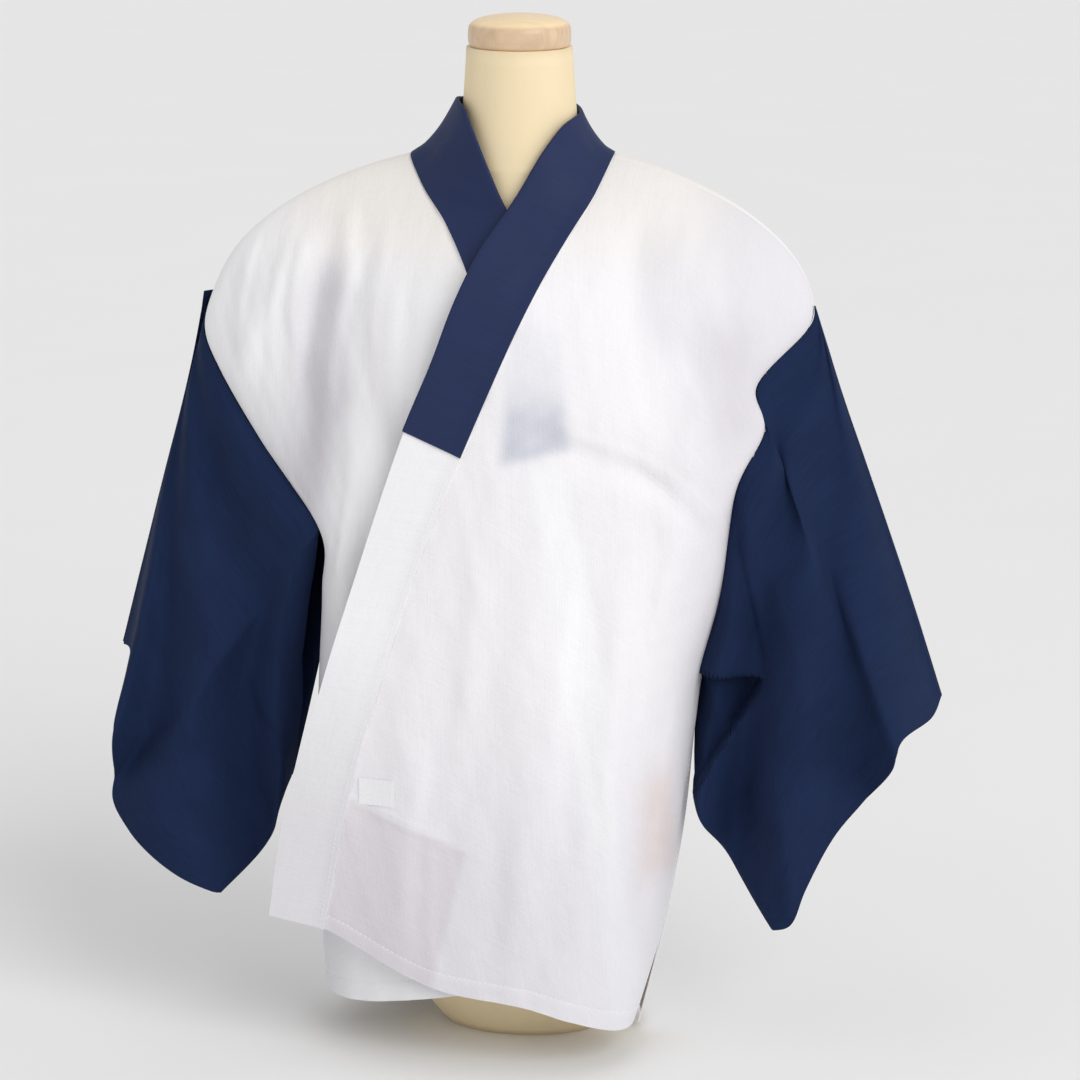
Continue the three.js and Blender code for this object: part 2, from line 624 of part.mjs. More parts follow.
// The front leaf's open edge below the armhole turns outward and shows the back leaf.
function frontTurn(turn, across, drop) {
  const below = Math.max(0, drop - SLEEVE.armholeShare) / (1 - SLEEVE.armholeShare);
  return turn * (1 - across) ** 2 * Math.sin(Math.PI * below ** 1.3) ** 2;
}

function sleeve(name, shape, armhole) {
  const frame = sleeveFrame(shape, armhole);
  const drops = ARMHOLE_ROWS.map((row) => (SLEEVE.armholeShare * row) / LAST_ARMHOLE_ROW);
  for (let i = 1; i <= SLEEVE.swingSteps; i += 1) {
    drops.push(lerp(SLEEVE.armholeShare, 1, i / SLEEVE.swingSteps));
  }
  const last = drops.length - 1;
  const grid = [];
  for (let i = 0; i <= SLEEVE.columns; i += 1) {
    const across = i / SLEEVE.columns;
    const leaf = (facing) => drops.map((drop, step) => {
      const { middle, room } = frame(across, drop, step);
      if (facing < 0) middle.x += shape.sign * frontTurn(shape.turn, across, drop);
      middle.y += facing * room;
      return middle;
    });
    const fore = leaf(-1);
    const rear = leaf(1);
    const top = fore[0].clone().add(rear[0]).multiplyScalar(0.5);
    const foot = fore[last].clone().add(rear[last]).multiplyScalar(0.5);
    grid.push([top, ...fore.slice(1, last), foot, ...rear.slice(1, last).reverse()]);
  }
  return wall(name, grid, CLOTH, '#25376a', true);
}

// ---------- dress form ----------
function superellipse(halfWidth, halfDepth, round, centreY, z) {
  const ring = [];
  for (let i = 0; i < FORM_SIDES; i += 1) {
    const angle = (2 * Math.PI * i) / FORM_SIDES;
    const power = 2 / round;
    const x = halfWidth * Math.sign(Math.cos(angle)) * Math.abs(Math.cos(angle)) ** power;
    const y = halfDepth * Math.sign(Math.sin(angle)) * Math.abs(Math.sin(angle)) ** power;
    ring.push(new THREE.Vector3(x, centreY + y, z));
  }
  return ring;
}

// A section of the shoulders, moved out to the neck's root where it lies inside it.
function withNeck(ring) {
  return ring.map((point) => {
    const axis = new THREE.Vector3(0, NECK_Y, point.z);
    const out = point.clone().sub(axis);
    return axis.addScaledVector(out.normalize(), Math.max(point.distanceTo(axis), along(NECK_ROOT, point.z)));
  });
}

// The ridge's x at height z, on the lower of the two shoulders.
function shoulderX(z) {
  return solve(0, 1, (across) => z - drape(FRONT_SECTIONS, BACK_SECTIONS, 0, across).z);
}

function dressForm() {
  const rings = FORM_SECTIONS.map(({ z, halfWidth, front: fore, back: rear, round }) => (
    superellipse(halfWidth, (rear - fore) / 2, round, (rear + fore) / 2, z)));
  rings[rings.length - 1] = withNeck(rings[rings.length - 1]);
  SHOULDER_HEIGHTS.forEach((z, i) => {
    const across = shoulderX(z + SHOULDER.clearance);
    const halfWidth = drape(FRONT_SECTIONS, BACK_SECTIONS, 0, across).x;
    const depth = lerp(SHOULDER.deepest, SHOULDER.shallowest, i / (SHOULDER_HEIGHTS.length - 1));
    rings.push(withNeck(superellipse(halfWidth, depth, SHOULDER.round, SHOULDER.ridgeY, z)));
  });
  for (const { z, radius } of NECK) rings.push(superellipse(radius, radius, 2, NECK_Y, z));
  const points = rings.flat();
  const faces = [];
  for (let i = 0; i < rings.length - 1; i += 1) {
    for (let j = 0; j < FORM_SIDES; j += 1) {
      const next = (j + 1) % FORM_SIDES;
      const at = i * FORM_SIDES;
      quad(faces, points, at + j, at + next, at + FORM_SIDES + next, at + FORM_SIDES + j);
    }
  }
  const top = (rings.length - 1) * FORM_SIDES;
  for (let j = 1; j < FORM_SIDES - 1; j += 1) {
    faces.push([0, j + 1, j]);
    faces.push([top, top + j, top + j + 1]);
  }
  return meshOf('dress_form', points, faces, '#eadab8', 0.85);
}

function neckCap() {
  const { radius, bottom, top, edge, dome, sides } = CAP;
  const rim = top - dome;
  const profile = [[0, bottom], [radius - edge, bottom], [radius, bottom + edge], [radius, rim - edge],
    [radius - edge, rim]];
  const arcSteps = 5;
  for (let i = 1; i <= arcSteps; i += 1) {
    const angle = (i / arcSteps) * (Math.PI / 2);
    profile.push([(radius - edge) * Math.cos(angle), rim + dome * Math.sin(angle)]);
  }
  profile[profile.length - 1][0] = 0;
  const geometry = new THREE.LatheGeometry(profile.map(([r, z]) => new THREE.Vector2(r, z)), sides);
  geometry.rotateX(Math.PI / 2);
  const material = new THREE.MeshStandardMaterial({ color: '#dfb98c', roughness: 0.5, metalness: 0 });
  const mesh = new THREE.Mesh(geometry, material);
  mesh.position.set(0, NECK_Y, 0);
  mesh.name = 'neck_cap';
  return mesh;
}

// ---------- tab ----------
function tab() {
  const lift = CLOTH / 2 + TAB.play + TAB.wall / 2;
  const grid = [];
  for (let i = 0; i <= TAB.steps; i += 1) {
    const row = [];
    for (let j = 0; j <= TAB.steps; j += 1) {
      const x = lerp(TAB.left, TAB.right, j / TAB.steps);
      const z = lerp(TAB.high, TAB.low, i / TAB.steps);
      const { row: at, across } = placeAt(outerFront, x, z);
      row.push(outerFront(at, across).addScaledVector(outOf(outerFront, at, across, -1), lift));
    }
    grid.push(row);
  }
  return wall('blank_tab', grid, TAB.wall, '#f7f7f8');
}

// ---------- the whole object ----------
const group = new THREE.Group();
const left = bodyLength('body_left', outerFront, 1, OUTER_SEAM, OUTER_HEM);
const right = bodyLength('body_right', underFront, -1, UNDER_SEAM, UNDER_HEM);
const armholeOf = ({ frontGrid, backGrid }) => (step) => ({
  front: frontGrid[step][PANEL_COLUMNS],
  back: backGrid[step][PANEL_COLUMNS],
});
const band = bandGrid(bandEdges());
group.add(left.mesh);
group.add(right.mesh);
group.add(wall('collar_band', band, COLLAR_CLOTH, '#f4f3f5'));
group.add(halfCollar(band));
group.add(sleeve('sleeve_left', SLEEVES.sleeve_left, armholeOf(left)));
group.add(sleeve('sleeve_right', SLEEVES.sleeve_right, armholeOf(right)));
group.add(tab());
group.add(dressForm());
group.add(neckCap());

export default group;
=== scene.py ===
import functools
import math

import bpy
import numpy as np
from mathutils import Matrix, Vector


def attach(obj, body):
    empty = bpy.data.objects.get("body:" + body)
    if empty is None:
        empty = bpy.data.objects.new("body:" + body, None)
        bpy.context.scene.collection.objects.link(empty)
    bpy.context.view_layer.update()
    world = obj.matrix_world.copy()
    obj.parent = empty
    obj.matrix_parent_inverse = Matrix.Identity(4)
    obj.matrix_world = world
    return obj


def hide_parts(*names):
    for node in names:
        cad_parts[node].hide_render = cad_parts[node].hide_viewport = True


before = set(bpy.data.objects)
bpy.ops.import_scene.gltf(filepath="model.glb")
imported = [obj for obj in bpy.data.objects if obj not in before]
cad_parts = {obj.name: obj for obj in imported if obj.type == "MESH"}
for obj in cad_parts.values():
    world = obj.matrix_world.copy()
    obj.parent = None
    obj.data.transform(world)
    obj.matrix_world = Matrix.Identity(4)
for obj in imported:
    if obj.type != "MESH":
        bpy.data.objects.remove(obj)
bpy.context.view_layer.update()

# A hanjuban (short kimono under-robe) with a half collar, worn on a limbless dress form.
# Tables are in millimetres, in the frame's axes: +Z up, -Y the front, +X the wearer's left.

bl_info = {
    "name": "Hanjuban on a dress form",
    "version": (1, 0, 0),
    "blender": (4, 5, 0),
    "location": "View3D > Sidebar > Hanjuban",
    "description": "Sews a short kimono under-robe with a half collar round a limbless dress form",
    "category": "Add Mesh",
}

BODY = "root"
MM = 0.001
QUARTER = math.pi / 2

# ---------- tables of the worn cloth ----------
# Sections from the shoulder ridge down. Columns: y and z at x = 0, x, y and z of the wearer's right edge, then of
# the left edge, the superellipse exponent, the swell beyond a straight line, and how soon the height drops.
FRONT_SECTIONS = np.array([
    (10, 804, -268, 0, 670, 256, 0, 671, 1.8, 1, 0),
    (-64, 762, -277, -13, 640, 252, -8, 650, 1.9, 0.8, 0.35),
    (-104, 708, -259, -36, 607, 213, -42, 607, 2, 0.65, 0.7),
    (-120, 650, -219, -57, 550, 221, -52, 570, 2, 0.6, 1),
    (-127, 580, -163, -77, 475, 198, -66, 518, 2, 0.7, 1),
    (-128, 480, -164, -62, 420, 185, -42, 428, 2.1, 0.85, 1),
    (-127, 375, -173, -28, 350, 165, -10, 348, 2.2, 1, 1),
    (-126, 290, -179, -6, 290, 157, -5, 290, 2.3, 1, 1),
    (-125, 200, -180, -5, 200, 148, -7, 200, 2.4, 1, 1),
    (-123, 105, -177, -7, 105, 131, -13, 105, 2.4, 1, 1),
    (-120, 8, -169, -14, 8, 104, -44, 8, 2.4, 1, 1),
])
BACK_SECTIONS = np.array([
    (10, 804, -268, 0, 670, 256, 0, 671, 1.8, 1, 0),
    (53, 797, -277, 11, 640, 252, 10, 650, 1.8, 0.9, 0.2),
    (86, 779, -259, 36, 607, 213, 38, 607, 1.9, 0.8, 0.5),
    (103, 725, -219, 59, 550, 221, 56, 570, 2, 0.7, 0.8),
    (110, 650, -163, 76, 475, 198, 74, 518, 2, 0.7, 1),
    (113, 530, -164, 48, 420, 185, 44, 428, 2.1, 0.85, 1),
    (113, 400, -173, 14, 350, 165, 8, 348, 2.2, 1, 1),
    (113, 290, -179, -6, 290, 157, -5, 290, 2.3, 1, 1),
    (113, 200, -180, -5, 200, 148, -7, 200, 2.4, 1, 1),
    (112, 105, -175, 4, 105, 131, 2, 105, 2.4, 1, 1),
    (110, 4, -166, 12, 4, 107, 6, 4, 2.7, 1, 1),
])
LAST_ARMHOLE_ROW = 4  # of the sections, as far down as the armholes reach
LAST_ROW = 10
FLARE_REACH = 230  # past the middle the outer front runs on by this much, and bends back by the next value
FLARE_BEND = 32
TUCK = 11  # how far the under front lies inside the outer one
SEAM = 0.3  # between the two back lengths at the middle

# Lines on the fronts: for a height z, the x of each edge.
OUTER_SEAM = [(100, -163), (132, -156), (260, -130), (369, -98), (468, -66), (554, -31), (636, 4),
              (686, 26), (733, 51), (762, 67), (782, 75), (796, 79.3), (804, 81)]
OUTER_FREE = [(100, -213), (135, -208), (224, -193), (299, -170), (413, -134), (570, -81), (650, -48),
              (706, -28), (754, 0)]
UNDER_SEAM = [(50, 82), (96, 76), (191, 65), (285, 52), (404, 34), (555, 7), (641, -10),
              (706, -30), (743, -53), (766, -73), (781, -85), (792.3, -94), (804, -97)]
UNDER_FREE = [(50, 128), (104, 122), (199, 111), (298, 101), (419, 89), (570, 59), (660, 40),
              (723, 16), (754, -1)]
# Hems: for an x, the height z.
OUTER_HEM = [(-213, 134), (-156, 121), (-61, 76), (20, 62), (70, 44), (108, 27)]
UNDER_HEM = [(-180, 44), (-129, 48), (-65, 60), (30, 80), (128, 104)]
BACK_HEM = [(-178, 36), (-90, 18), (0, 13), (70, 10), (115, 8)]

# The neck line behind the shoulders, and where the collar climbs from the chest to the neck.
NECK_ROWS = [0, 0.45, 0.9, 1.3, 1.65, 1.88, 2]
NECK_LINE = {"left": (79.3, 831), "right": (-94, 843)}  # x of the seam on the ridge, z of the free edge
NECK_FREE = {"x": 53.5, "front": 0, "back": 64, "back_z": 838}
NECK_Y = 6  # of the neck's middle
# For a height of the seam, where the free edge lies.
OUTER_CLIMB = [(733, (1, -70, 755)), (747, (11, -60, 771)), (765, (29, -49, 803)), (782, (44, -32, 824))]
UNDER_CLIMB = [(743, (-1, -60, 753)), (754, (-11, -57, 772)), (768, (-28, -49, 809)), (781, (-42, -34, 836))]
# For a height of the seam, how much higher the free edge across from it is, and the heights of the band's rows.
BAND_RISE = [(100, 2), (160, 12), (300, 14), (554, 20), (690, 24), (733, 22)]
OUTER_BAND = [121, 170, 225, 290, 360, 430, 500, 554, 610, 660, 700]
UNDER_BAND = [92, 160, 225, 290, 360, 430, 500, 552, 610, 660, 706]
HALF_COLLAR_END = {"outer": 570, "under": 566}  # heights where it ends on each front

# Folds and creases. Columns: x and z where one starts and ends, depth out of the cloth, spread, how far it bows
# to one side, and how much steeper one flank is than the other.
FRONT_FOLDS = [
    (-158, 745, -176, 500, -6, 17, 0, 0),
    (-196, 735, -236, 610, 5, 15, 0, 0),
    (-122, 700, -118, 520, 5, 17, 0, 0),
    (-142, 480, -150, 230, 5, 17, 0, 0),
    (122, 735, 156, 600, -5, 20, 0, 0),
    (40, 570, 170, 520, -4, 15, 0, 0),
    (176, 640, 140, 430, 5, 18, 0, 0),
    (110, 480, 96, 120, 5, 20, 0, 0),
    (30, 420, 16, 90, 4, 24, 0, 0),
    (-78, 330, -96, 110, 3, 20, 0, 0),
]
FRONT_CREASES = [
    (-146, 752, -138, 690, 5, 13, 0, 0.4),
    (-138, 705, -152, 600, 5, 14, 4, 0.5),
    (-150, 620, -186, 492, 4, 15, -6, 0.5),
    (-120, 726, -116, 600, -4, 12, 4, 0.3),
    (-106, 722, -98, 560, 3.6, 10, 5, 0.4),
    (-84, 700, -78, 560, -2.6, 11, 4, 0.3),
    (-182, 728, -187, 640, 4, 9, 4, -0.4),
    (-166, 700, -176, 600, -3.4, 9, 3, -0.3),
    (-229, 724, -240, 640, 3.4, 9, 3, 0.4),
    (-208, 716, -216, 620, -2.6, 9, 3, 0.3),
    (-132, 560, -146, 440, 3, 10, -4, -0.4),
    (-118, 480, -128, 330, -2.4, 11, 4, 0.3),
    (132, 744, 158, 610, 3.4, 10, 8, 0.4),
    (110, 735, 128, 600, -2.4, 12, 6, 0.3),
    (172, 716, 192, 640, 3, 9, 4, 0.3),
    (196, 660, 200, 600, -2.2, 8, 0, 0),
    (52, 586, 88, 566, 1, 5, 3, 0.3),
    (86, 568, 180, 506, 1.5, 6, -8, 0.4),
    (120, 540, 176, 480, -2, 8, -5, 0.3),
    (150, 470, 126, 320, 3.2, 11, 5, -0.3),
    (136, 360, 116, 120, -3, 12, -4, 0.3),
    (112, 420, 96, 200, 2, 12, 4, 0.3),
    (66, 450, 50, 230, 2, 11, 5, 0.4),
    (-20, 470, -36, 280, 1.8, 12, -5, -0.3),
    (-62, 300, -84, 120, 2, 10, 4, 0.3),
    (8, 250, 0, 80, -2, 12, 3, 0.2),
    (74, 250, 64, 70, 2.2, 12, -4, 0.3),
    (-133, 245, -28, 204, 1.3, 3, 0, 0.2),
    (-60, 200, -58, 86, 1.2, 4, 0, 0.3),
]
# Soft tugs across the half collar below the shoulder, with columns as above.
COLLAR_TUGS = [
    (-86, 812, -38, 796, 1.6, 5, 2, 0.2),
    (-80, 794, -34, 782, -1.2, 5, 2, -0.2),
    (-74, 776, -30, 770, 1.1, 6, -2, 0.2),
    (76, 806, 34, 792, 0.9, 6, 2, 0.2),
    (44, 724, 2, 700, 0.7, 8, 3, 0.2),
]
# Painted shade: where the white cloth is tinted greyer along its folds. Columns as above, but a share for a
# depth.
FOLD_SHADE = [
    (-150, 700, -152, 590, 1, 26, 4, 0.2),
    (-148, 620, -190, 470, 1, 22, -6, 0.3),
    (-100, 700, -98, 560, 0.6, 10, 4, 0.2),
    (-232, 700, -240, 620, 0.4, 16, 0, 0),
    (138, 740, 150, 640, 0.5, 16, 6, 0.3),
    (186, 660, 204, 560, 0.5, 24, 0, 0),
]
BACK_FOLDS = [
    (-150, 700, -120, 380, 6, 20, 0, 0),
    (150, 690, 118, 360, 6, 20, 0, 0),
    (-60, 640, -70, 60, 5, 24, 0, 0),
    (66, 600, 60, 40, 5, 24, 0, 0),
    (-112, 420, -128, 60, -5, 18, 0, 0),
    (112, 400, 92, 40, -5, 18, 0, 0),
]
BACK_CREASES = [
    (-196, 690, -168, 520, 4.4, 11, 7, 0.4),
    (-172, 700, -146, 560, -3, 11, 6, 0.3),
    (182, 690, 164, 540, 4, 11, -6, -0.4),
    (156, 700, 138, 560, -3, 11, -5, -0.3),
    (-104, 700, -86, 500, -3.2, 13, 5, 0.3),
    (98, 690, 90, 470, -3.2, 13, -5, 0.3),
    (-30, 560, -24, 300, 2.6, 12, 4, 0.3),
    (28, 480, 34, 220, 2.6, 12, -4, -0.3),
    (-140, 360, -134, 90, 3, 12, 4, 0.3),
    (120, 330, 104, 80, 3, 12, -5, 0.3),
    (-94, 240, -98, 50, 2.2, 11, 3, 0.2),
]

# Sleeves. fold, cuff, bottom and swing: points of the shoulder fold, the cuff's edge, the bottom seam and the
# open edge under the arm. turn, pull and recess: at shares of that edge, how far the front leaf turns outward
# and comes forward there, and how far the back leaf lies back. hollow: the four sides of the patch where the
# front leaf is tucked in under its flap. lip: how far back the front leaf lies along the shoulder fold. front
# and back: the creases of each leaf, with columns as above.
SLEEVES = {
    "sleeve_left": {
        "sign": 1,
        "fold": [(256, 0, 671), (280, 12, 593), (315, 22, 492), (347, 30, 398), (373, 34, 318)],
        "cuff": [(373, 34, 318), (367, 8, 306), (344, -28, 299), (336, -38, 272), (309, -38, 233),
                 (284, -38, 201), (262, -36, 158), (250, -32, 128), (233, -28, 121)],
        "bottom": [(156, -18, 236), (174, -24, 202), (196, -27, 163), (233, -28, 121)],
        "swing": [(198, 4, 518), (189, 8, 456), (178, 12, 394), (165, 8, 318), (156, -18, 236)],
        "turn": [(0, 0), (0.1, -3), (0.3, -5), (0.5, -6), (0.65, -8), (0.8, -8), (0.92, -4), (1, 0)],
        "pull": [(0, 0), (0.15, 8), (0.4, 12), (0.64, 20), (0.74, 6), (1, 0)],
        "recess": [(0, 0), (0.3, 4), (0.6, 12), (0.78, 14), (0.92, 6), (1, 0)],
        "hollow": [(120, 200, 120, 345), (158, 236, 221, 342), (120, 214, 240, 214), (160, 343, 221, 341)],
        "lip": 0,
        "front": [(200, 500, 222, 356, -6, 6, 3, 0.5),
                  (232, 440, 236, 262, 2, 16, 3, 0.2), (252, 330, 262, 200, -2.4, 14, 4, 0.3),
                  (268, 500, 276, 330, -2, 17, -4, 0.2), (306, 470, 316, 300, 2.2, 16, 3, -0.3),
                  (350, 344, 318, 300, 1.6, 5, 3, 0.3), (336, 330, 300, 262, -1.6, 6, -3, 0.3),
                  (232, 250, 250, 140, 3, 12, -3, 0.2)],
        "back": [(230, 560, 222, 250, 5, 16, 4, 0.2), (276, 560, 292, 240, -5, 17, 5, 0.2),
                 (318, 480, 336, 290, 4, 15, -4, 0.2), (206, 420, 214, 200, -3, 12, 3, 0.2)],
    },
    "sleeve_right": {
        "sign": -1,
        "fold": [(-268, 0, 670), (-300, 16, 575), (-329, 28, 488), (-352, 36, 411), (-373, 40, 336)],
        "cuff": [(-373, 40, 336), (-354, 0, 334), (-358, -22, 282), (-363, -32, 240), (-368, -36, 206),
                 (-347, -38, 181), (-303, -36, 150), (-264, -30, 131)],
        "bottom": [(-201, -22, 236), (-213, -28, 200), (-232, -32, 163), (-264, -30, 131)],
        "swing": [(-163, 0, 475), (-172, 0, 420), (-180, -4, 360), (-190, -12, 296), (-201, -22, 236)],
        "turn": [(0, 0), (0.15, 1), (0.35, 5), (0.55, 7), (0.7, 2), (0.85, 1), (1, 0)],
        "pull": [(0, 0), (0.5, 2), (1, 0)],
        "recess": [(0, 0), (0.3, 6), (0.6, 8), (1, 0)],
        "hollow": None,
        "lip": 6,
        "front": [(-188, 500, -274, 376, 4.5, 12, 6, 0.4), (-178, 474, -236, 380, -5.5, 13, 6, -0.3),
                  (-236, 306, -192, 266, -4, 5, 3, 0.4), (-228, 290, -194, 256, 2.5, 7, 3, -0.3),
                  (-246, 570, -292, 430, -4, 14, 5, 0.2), (-300, 420, -338, 300, 1.6, 18, -4, 0.2),
                  (-262, 330, -300, 190, -2, 16, 5, 0.3), (-226, 260, -244, 170, 3, 11, -3, 0.2)],
        "back": [(-240, 560, -246, 240, 5, 16, 4, 0.2), (-290, 540, -312, 240, -5, 17, -5, 0.2),
                 (-328, 480, -350, 320, 4, 15, 4, 0.2), (-212, 420, -222, 220, -3, 12, 3, 0.2)],
    },
}
SLEEVE_WIDTH = 340
SLEEVE_DROP = 490
ARMHOLE_SHARE = 0.49  # of the drop, where the sleeve is sewn to the body
CUFF_SHARE = 0.48  # of the drop, where the cuff is open, and how far each of its leaves gapes
CUFF_GAPE = 15
LEAF_ROOM = 1.9  # from the middle to each leaf
FLUTE = 25  # depth and number of the soft waves that fan out below the shoulder
FLUTES = 3
ARMHOLE_PART = 1.6  # space between the sleeve and the body
TOP_SHARE = 0.12  # of the drop, where that space also lowers the shoulder fold

TAB = {"left": -123, "right": -91, "low": 240, "high": 264, "play": 0.3, "half_wall": 0.25, "grey": 0.94}


# ---------- settings a user would change ----------
def linear(code):
    """An sRGB hex colour as linear red, green and blue."""
    parts = [int(code[i:i + 2], 16) / 255 for i in (1, 3, 5)]
    return [p / 12.92 if p <= 0.04045 else ((p + 0.055) / 1.055) ** 2.4 for p in parts]


def length(name, text, size):
    return bpy.props.FloatProperty(name=name, description=text, default=size * MM, unit="LENGTH", min=0.0)


def shade(name, text, code):
    return bpy.props.FloatVectorProperty(name=name, description=text, default=linear(code), size=3,
                                         subtype="COLOR", min=0.0, max=1.0)


class HanjubanSizes(bpy.types.PropertyGroup):
    wall: length("Cloth", "Thickness of the white panels and the sleeves", 1.2)
    band_wall: length("Band", "Thickness of the collar band", 1.2)
    half_collar_wall: length("Half collar", "Thickness of the half collar", 1.0)
    stitch: length("Stitch", "Length of one stitch", 2.6)
    stitch_gap: length("Stitch gap", "Space between two stitches", 2.0)
    thread: length("Thread", "Thickness of the sewing thread", 0.5)
    creases: bpy.props.FloatProperty(name="Creases", description="How strongly the small creases show",
                                     default=1.0, min=0.0, max=2.0, subtype="FACTOR")


class HanjubanColours(bpy.types.PropertyGroup):
    white: shade("White cotton", "Bleached plain weave of the body and the band", "#f3f2f4")
    navy: shade("Navy cotton", "Dyed plain weave of the sleeves", "#182645")
    collar_navy: shade("Collar navy", "Finer dyed cloth of the half collar", "#222e52")
    cover: shade("Form cover", "Stretched cover of the dress form", "#efdcb6")
    wood: shade("Cap wood", "Lacquered wood round the neck cap's side", "#dfc09e")
    # Painted light: the dome is given a paler colour for the light that falls on its top.
    lit_dome: shade("Cap dome", "Paler lacquered wood on top of the neck cap", "#fbdfb2")
    floor: shade("Floor", "Plain pale floor", "#f4f4f4")


# ---------- small helpers ----------
def lerp(a, b, t):
    return a + (b - a) * t


def smooth(t):
    x = np.clip(t, 0, 1)
    return x * x * (3 - 2 * x)


def stack(*parts):
    return np.stack(np.broadcast_arrays(*parts), -1)


def unit(vectors):
    return vectors / np.maximum(np.linalg.norm(vectors, axis=-1, keepdims=True), 1e-9)


def hermite(start, end, rise, fall, t):
    bend = 3 * (end - start) - 2 * rise - fall
    return start + t * (rise + t * (bend + t * (2 * (start - end) + rise + fall)))


def along(pairs, at):
    """A smooth curve through (place, value) pairs."""
    places, values = np.array(pairs, float).T
    slopes = np.gradient(values)
    slopes[1:-1] = (values[2:] - values[:-2]) / (places[2:] - places[:-2])
    slopes[0] = (values[1] - values[0]) / (places[1] - places[0])
    slopes[-1] = (values[-1] - values[-2]) / (places[-1] - places[-2])
    low = np.searchsorted(places[1:-1], at)
    span = places[low + 1] - places[low]
    t = np.clip((at - places[low]) / span, -0.2, 1.2)
    return hermite(values[low], values[low + 1], slopes[low] * span, slopes[low + 1] * span, t)


def curve(points, at):
    """A smooth curve through points, at places from 0 to 1. It doesn't overshoot."""
    given = np.array(points, float)
    ends = np.vstack([2 * given[0] - given[1], given, 2 * given[-1] - given[-2]])
    place = np.asarray(at, float) * (len(given) - 1)
    low = np.clip(np.floor(place).astype(int), 0, len(given) - 2)
    a, b, c, d = (ends[low + i] for i in range(4))

    def gap(p, q):
        return np.maximum(((p - q) ** 2).sum(-1, keepdims=True), 1e-9) ** 0.25

    first, middle, last = gap(a, b), gap(b, c), gap(c, d)
    rise = ((b - a) / first - (c - a) / (first + middle) + (c - b) / middle) * middle
    fall = ((c - b) / middle - (d - b) / (middle + last) + (d - c) / last) * middle
    return hermite(b, c, rise, fall, (place - low)[..., None])


SOLVE_STEPS = 19  # halvings, which leave under 0.01 mm


def solve(low, high, grows, like):
    """Halves a range until the growing function crosses zero, for many places at once."""
    a = np.full(np.shape(like), float(low))
    b = np.full(np.shape(like), float(high))
    for _ in range(SOLVE_STEPS):
        middle = (a + b) / 2
        below = grows(middle) < 0
        a = np.where(below, middle, a)
        b = np.where(below, b, middle)
    return (a + b) / 2


def ripple(x, y, size, seed):
    """Uneven soft waves of about this size, from -1 to 1, the same at each run."""
    out = 0
    for i in range(4):
        turn = seed + 1.9 * i
        reach = size * (1 + 0.37 * i)
        out = out + np.sin((x * math.cos(turn) + y * math.sin(turn)) * 2 * math.pi / reach + 2.3 * turn)
    return out / 4


# ---------- surfaces of the worn cloth ----------
def section_at(table, over, row):
    """The section at places between the rows of a table. The first row runs on into the table over."""
    ends = np.vstack([over[1], table, table[-1]])
    low = np.clip(np.floor(row).astype(int), 0, len(table) - 2)
    before, start, end, after = (ends[low + i] for i in range(4))
    return hermite(start, end, (end - before) / 2, (after - start) / 2, (row - low)[..., None])


def drape(table, over, row, across):
    """The cloth at a place down the sections and across them, from -1 over the middle to 1."""
    row, across = np.broadcast_arrays(np.asarray(row, float), np.asarray(across, float))
    s = section_at(table, over, row)
    edge = np.where((across < 0)[..., None], s[..., 2:5], s[..., 5:8])
    angle = np.clip(np.abs(across), 0, 1) * QUARTER
    power = 2 / s[..., 8]
    out = np.sin(angle) ** power
    down = np.maximum(np.cos(angle), 0) ** power
    y = lerp(s[..., 0], edge[..., 1], lerp(out, 1 - down, s[..., 9]))
    corner = lerp(s[..., 1], edge[..., 2], s[..., 10])
    z = corner + (s[..., 1] - corner) * (1 - out) + (edge[..., 2] - corner) * (1 - down)
    return stack(edge[..., 0] * out, y, z)


def folds_at(folds, x, z):
    """How far the folds of a table stand out of the cloth at x and z."""
    out = np.zeros(np.shape(x))
    for from_x, from_z, to_x, to_z, depth, width, bow, lean in folds:
        run_x, run_z = to_x - from_x, to_z - from_z
        size = math.hypot(run_x, run_z)
        share = ((x - from_x) * run_x + (z - from_z) * run_z) / size ** 2
        aside = ((x - from_x) * run_z - (z - from_z) * run_x) / size - bow * 4 * share * (1 - share)
        spread = width * np.where(aside > 0, 1 + lean, 1 - lean)
        ends = smooth((share + 0.25) / 0.5) * smooth((1.25 - share) / 0.5)
        out += depth * ends * np.exp(-(aside / spread) ** 2)
    return out


def folded(point, folds, facing, row, across):
    """Folds fade at the panels' edges, so that the seams stay where they are."""
    fade = smooth((1 - np.abs(across)) * 6) * smooth(row)
    point[..., 1] += facing * fade * folds_at(folds, point[..., 0], point[..., 2])
    return point


def outer_front(row, across):
    """The left front, which runs on past the middle and closes over the other."""
    point = drape(FRONT_SECTIONS, BACK_SECTIONS, row, across)
    row, across = np.broadcast_arrays(np.asarray(row, float), np.asarray(across, float))
    s = section_at(FRONT_SECTIONS, BACK_SECTIONS, row)
    flare = stack(FLARE_REACH * across, s[..., 0] + FLARE_BEND * across ** 2, s[..., 1])
    point = np.where((across < 0)[..., None], flare, point)
    return folded(point, FRONT_FOLDS, -1, row, across)


def front(row, across):
    return folded(drape(FRONT_SECTIONS, BACK_SECTIONS, row, across), FRONT_FOLDS, -1, row, across)


def back(row, across):
    return folded(drape(BACK_SECTIONS, FRONT_SECTIONS, row, across), BACK_FOLDS, 1, row, across)


def out_of(surface, row, across, facing):
    """The way out of the cloth."""
    step = 0.01
    a = np.clip(across, step - 1, 1 - step)
    r = np.maximum(step, row)
    side = surface(r, a + step) - surface(r, a - step)
    down = surface(r + step, a) - surface(r - step, a)
    return unit(np.cross(down, side) if facing < 0 else np.cross(side, down))


def under_front(row, across):
    inward = TUCK * smooth(np.asarray(row) / 1.3) * smooth((1 + np.minimum(0, across)) * 1.4)
    return front(row, across) - out_of(front, row, across, -1) * np.asarray(inward)[..., None]


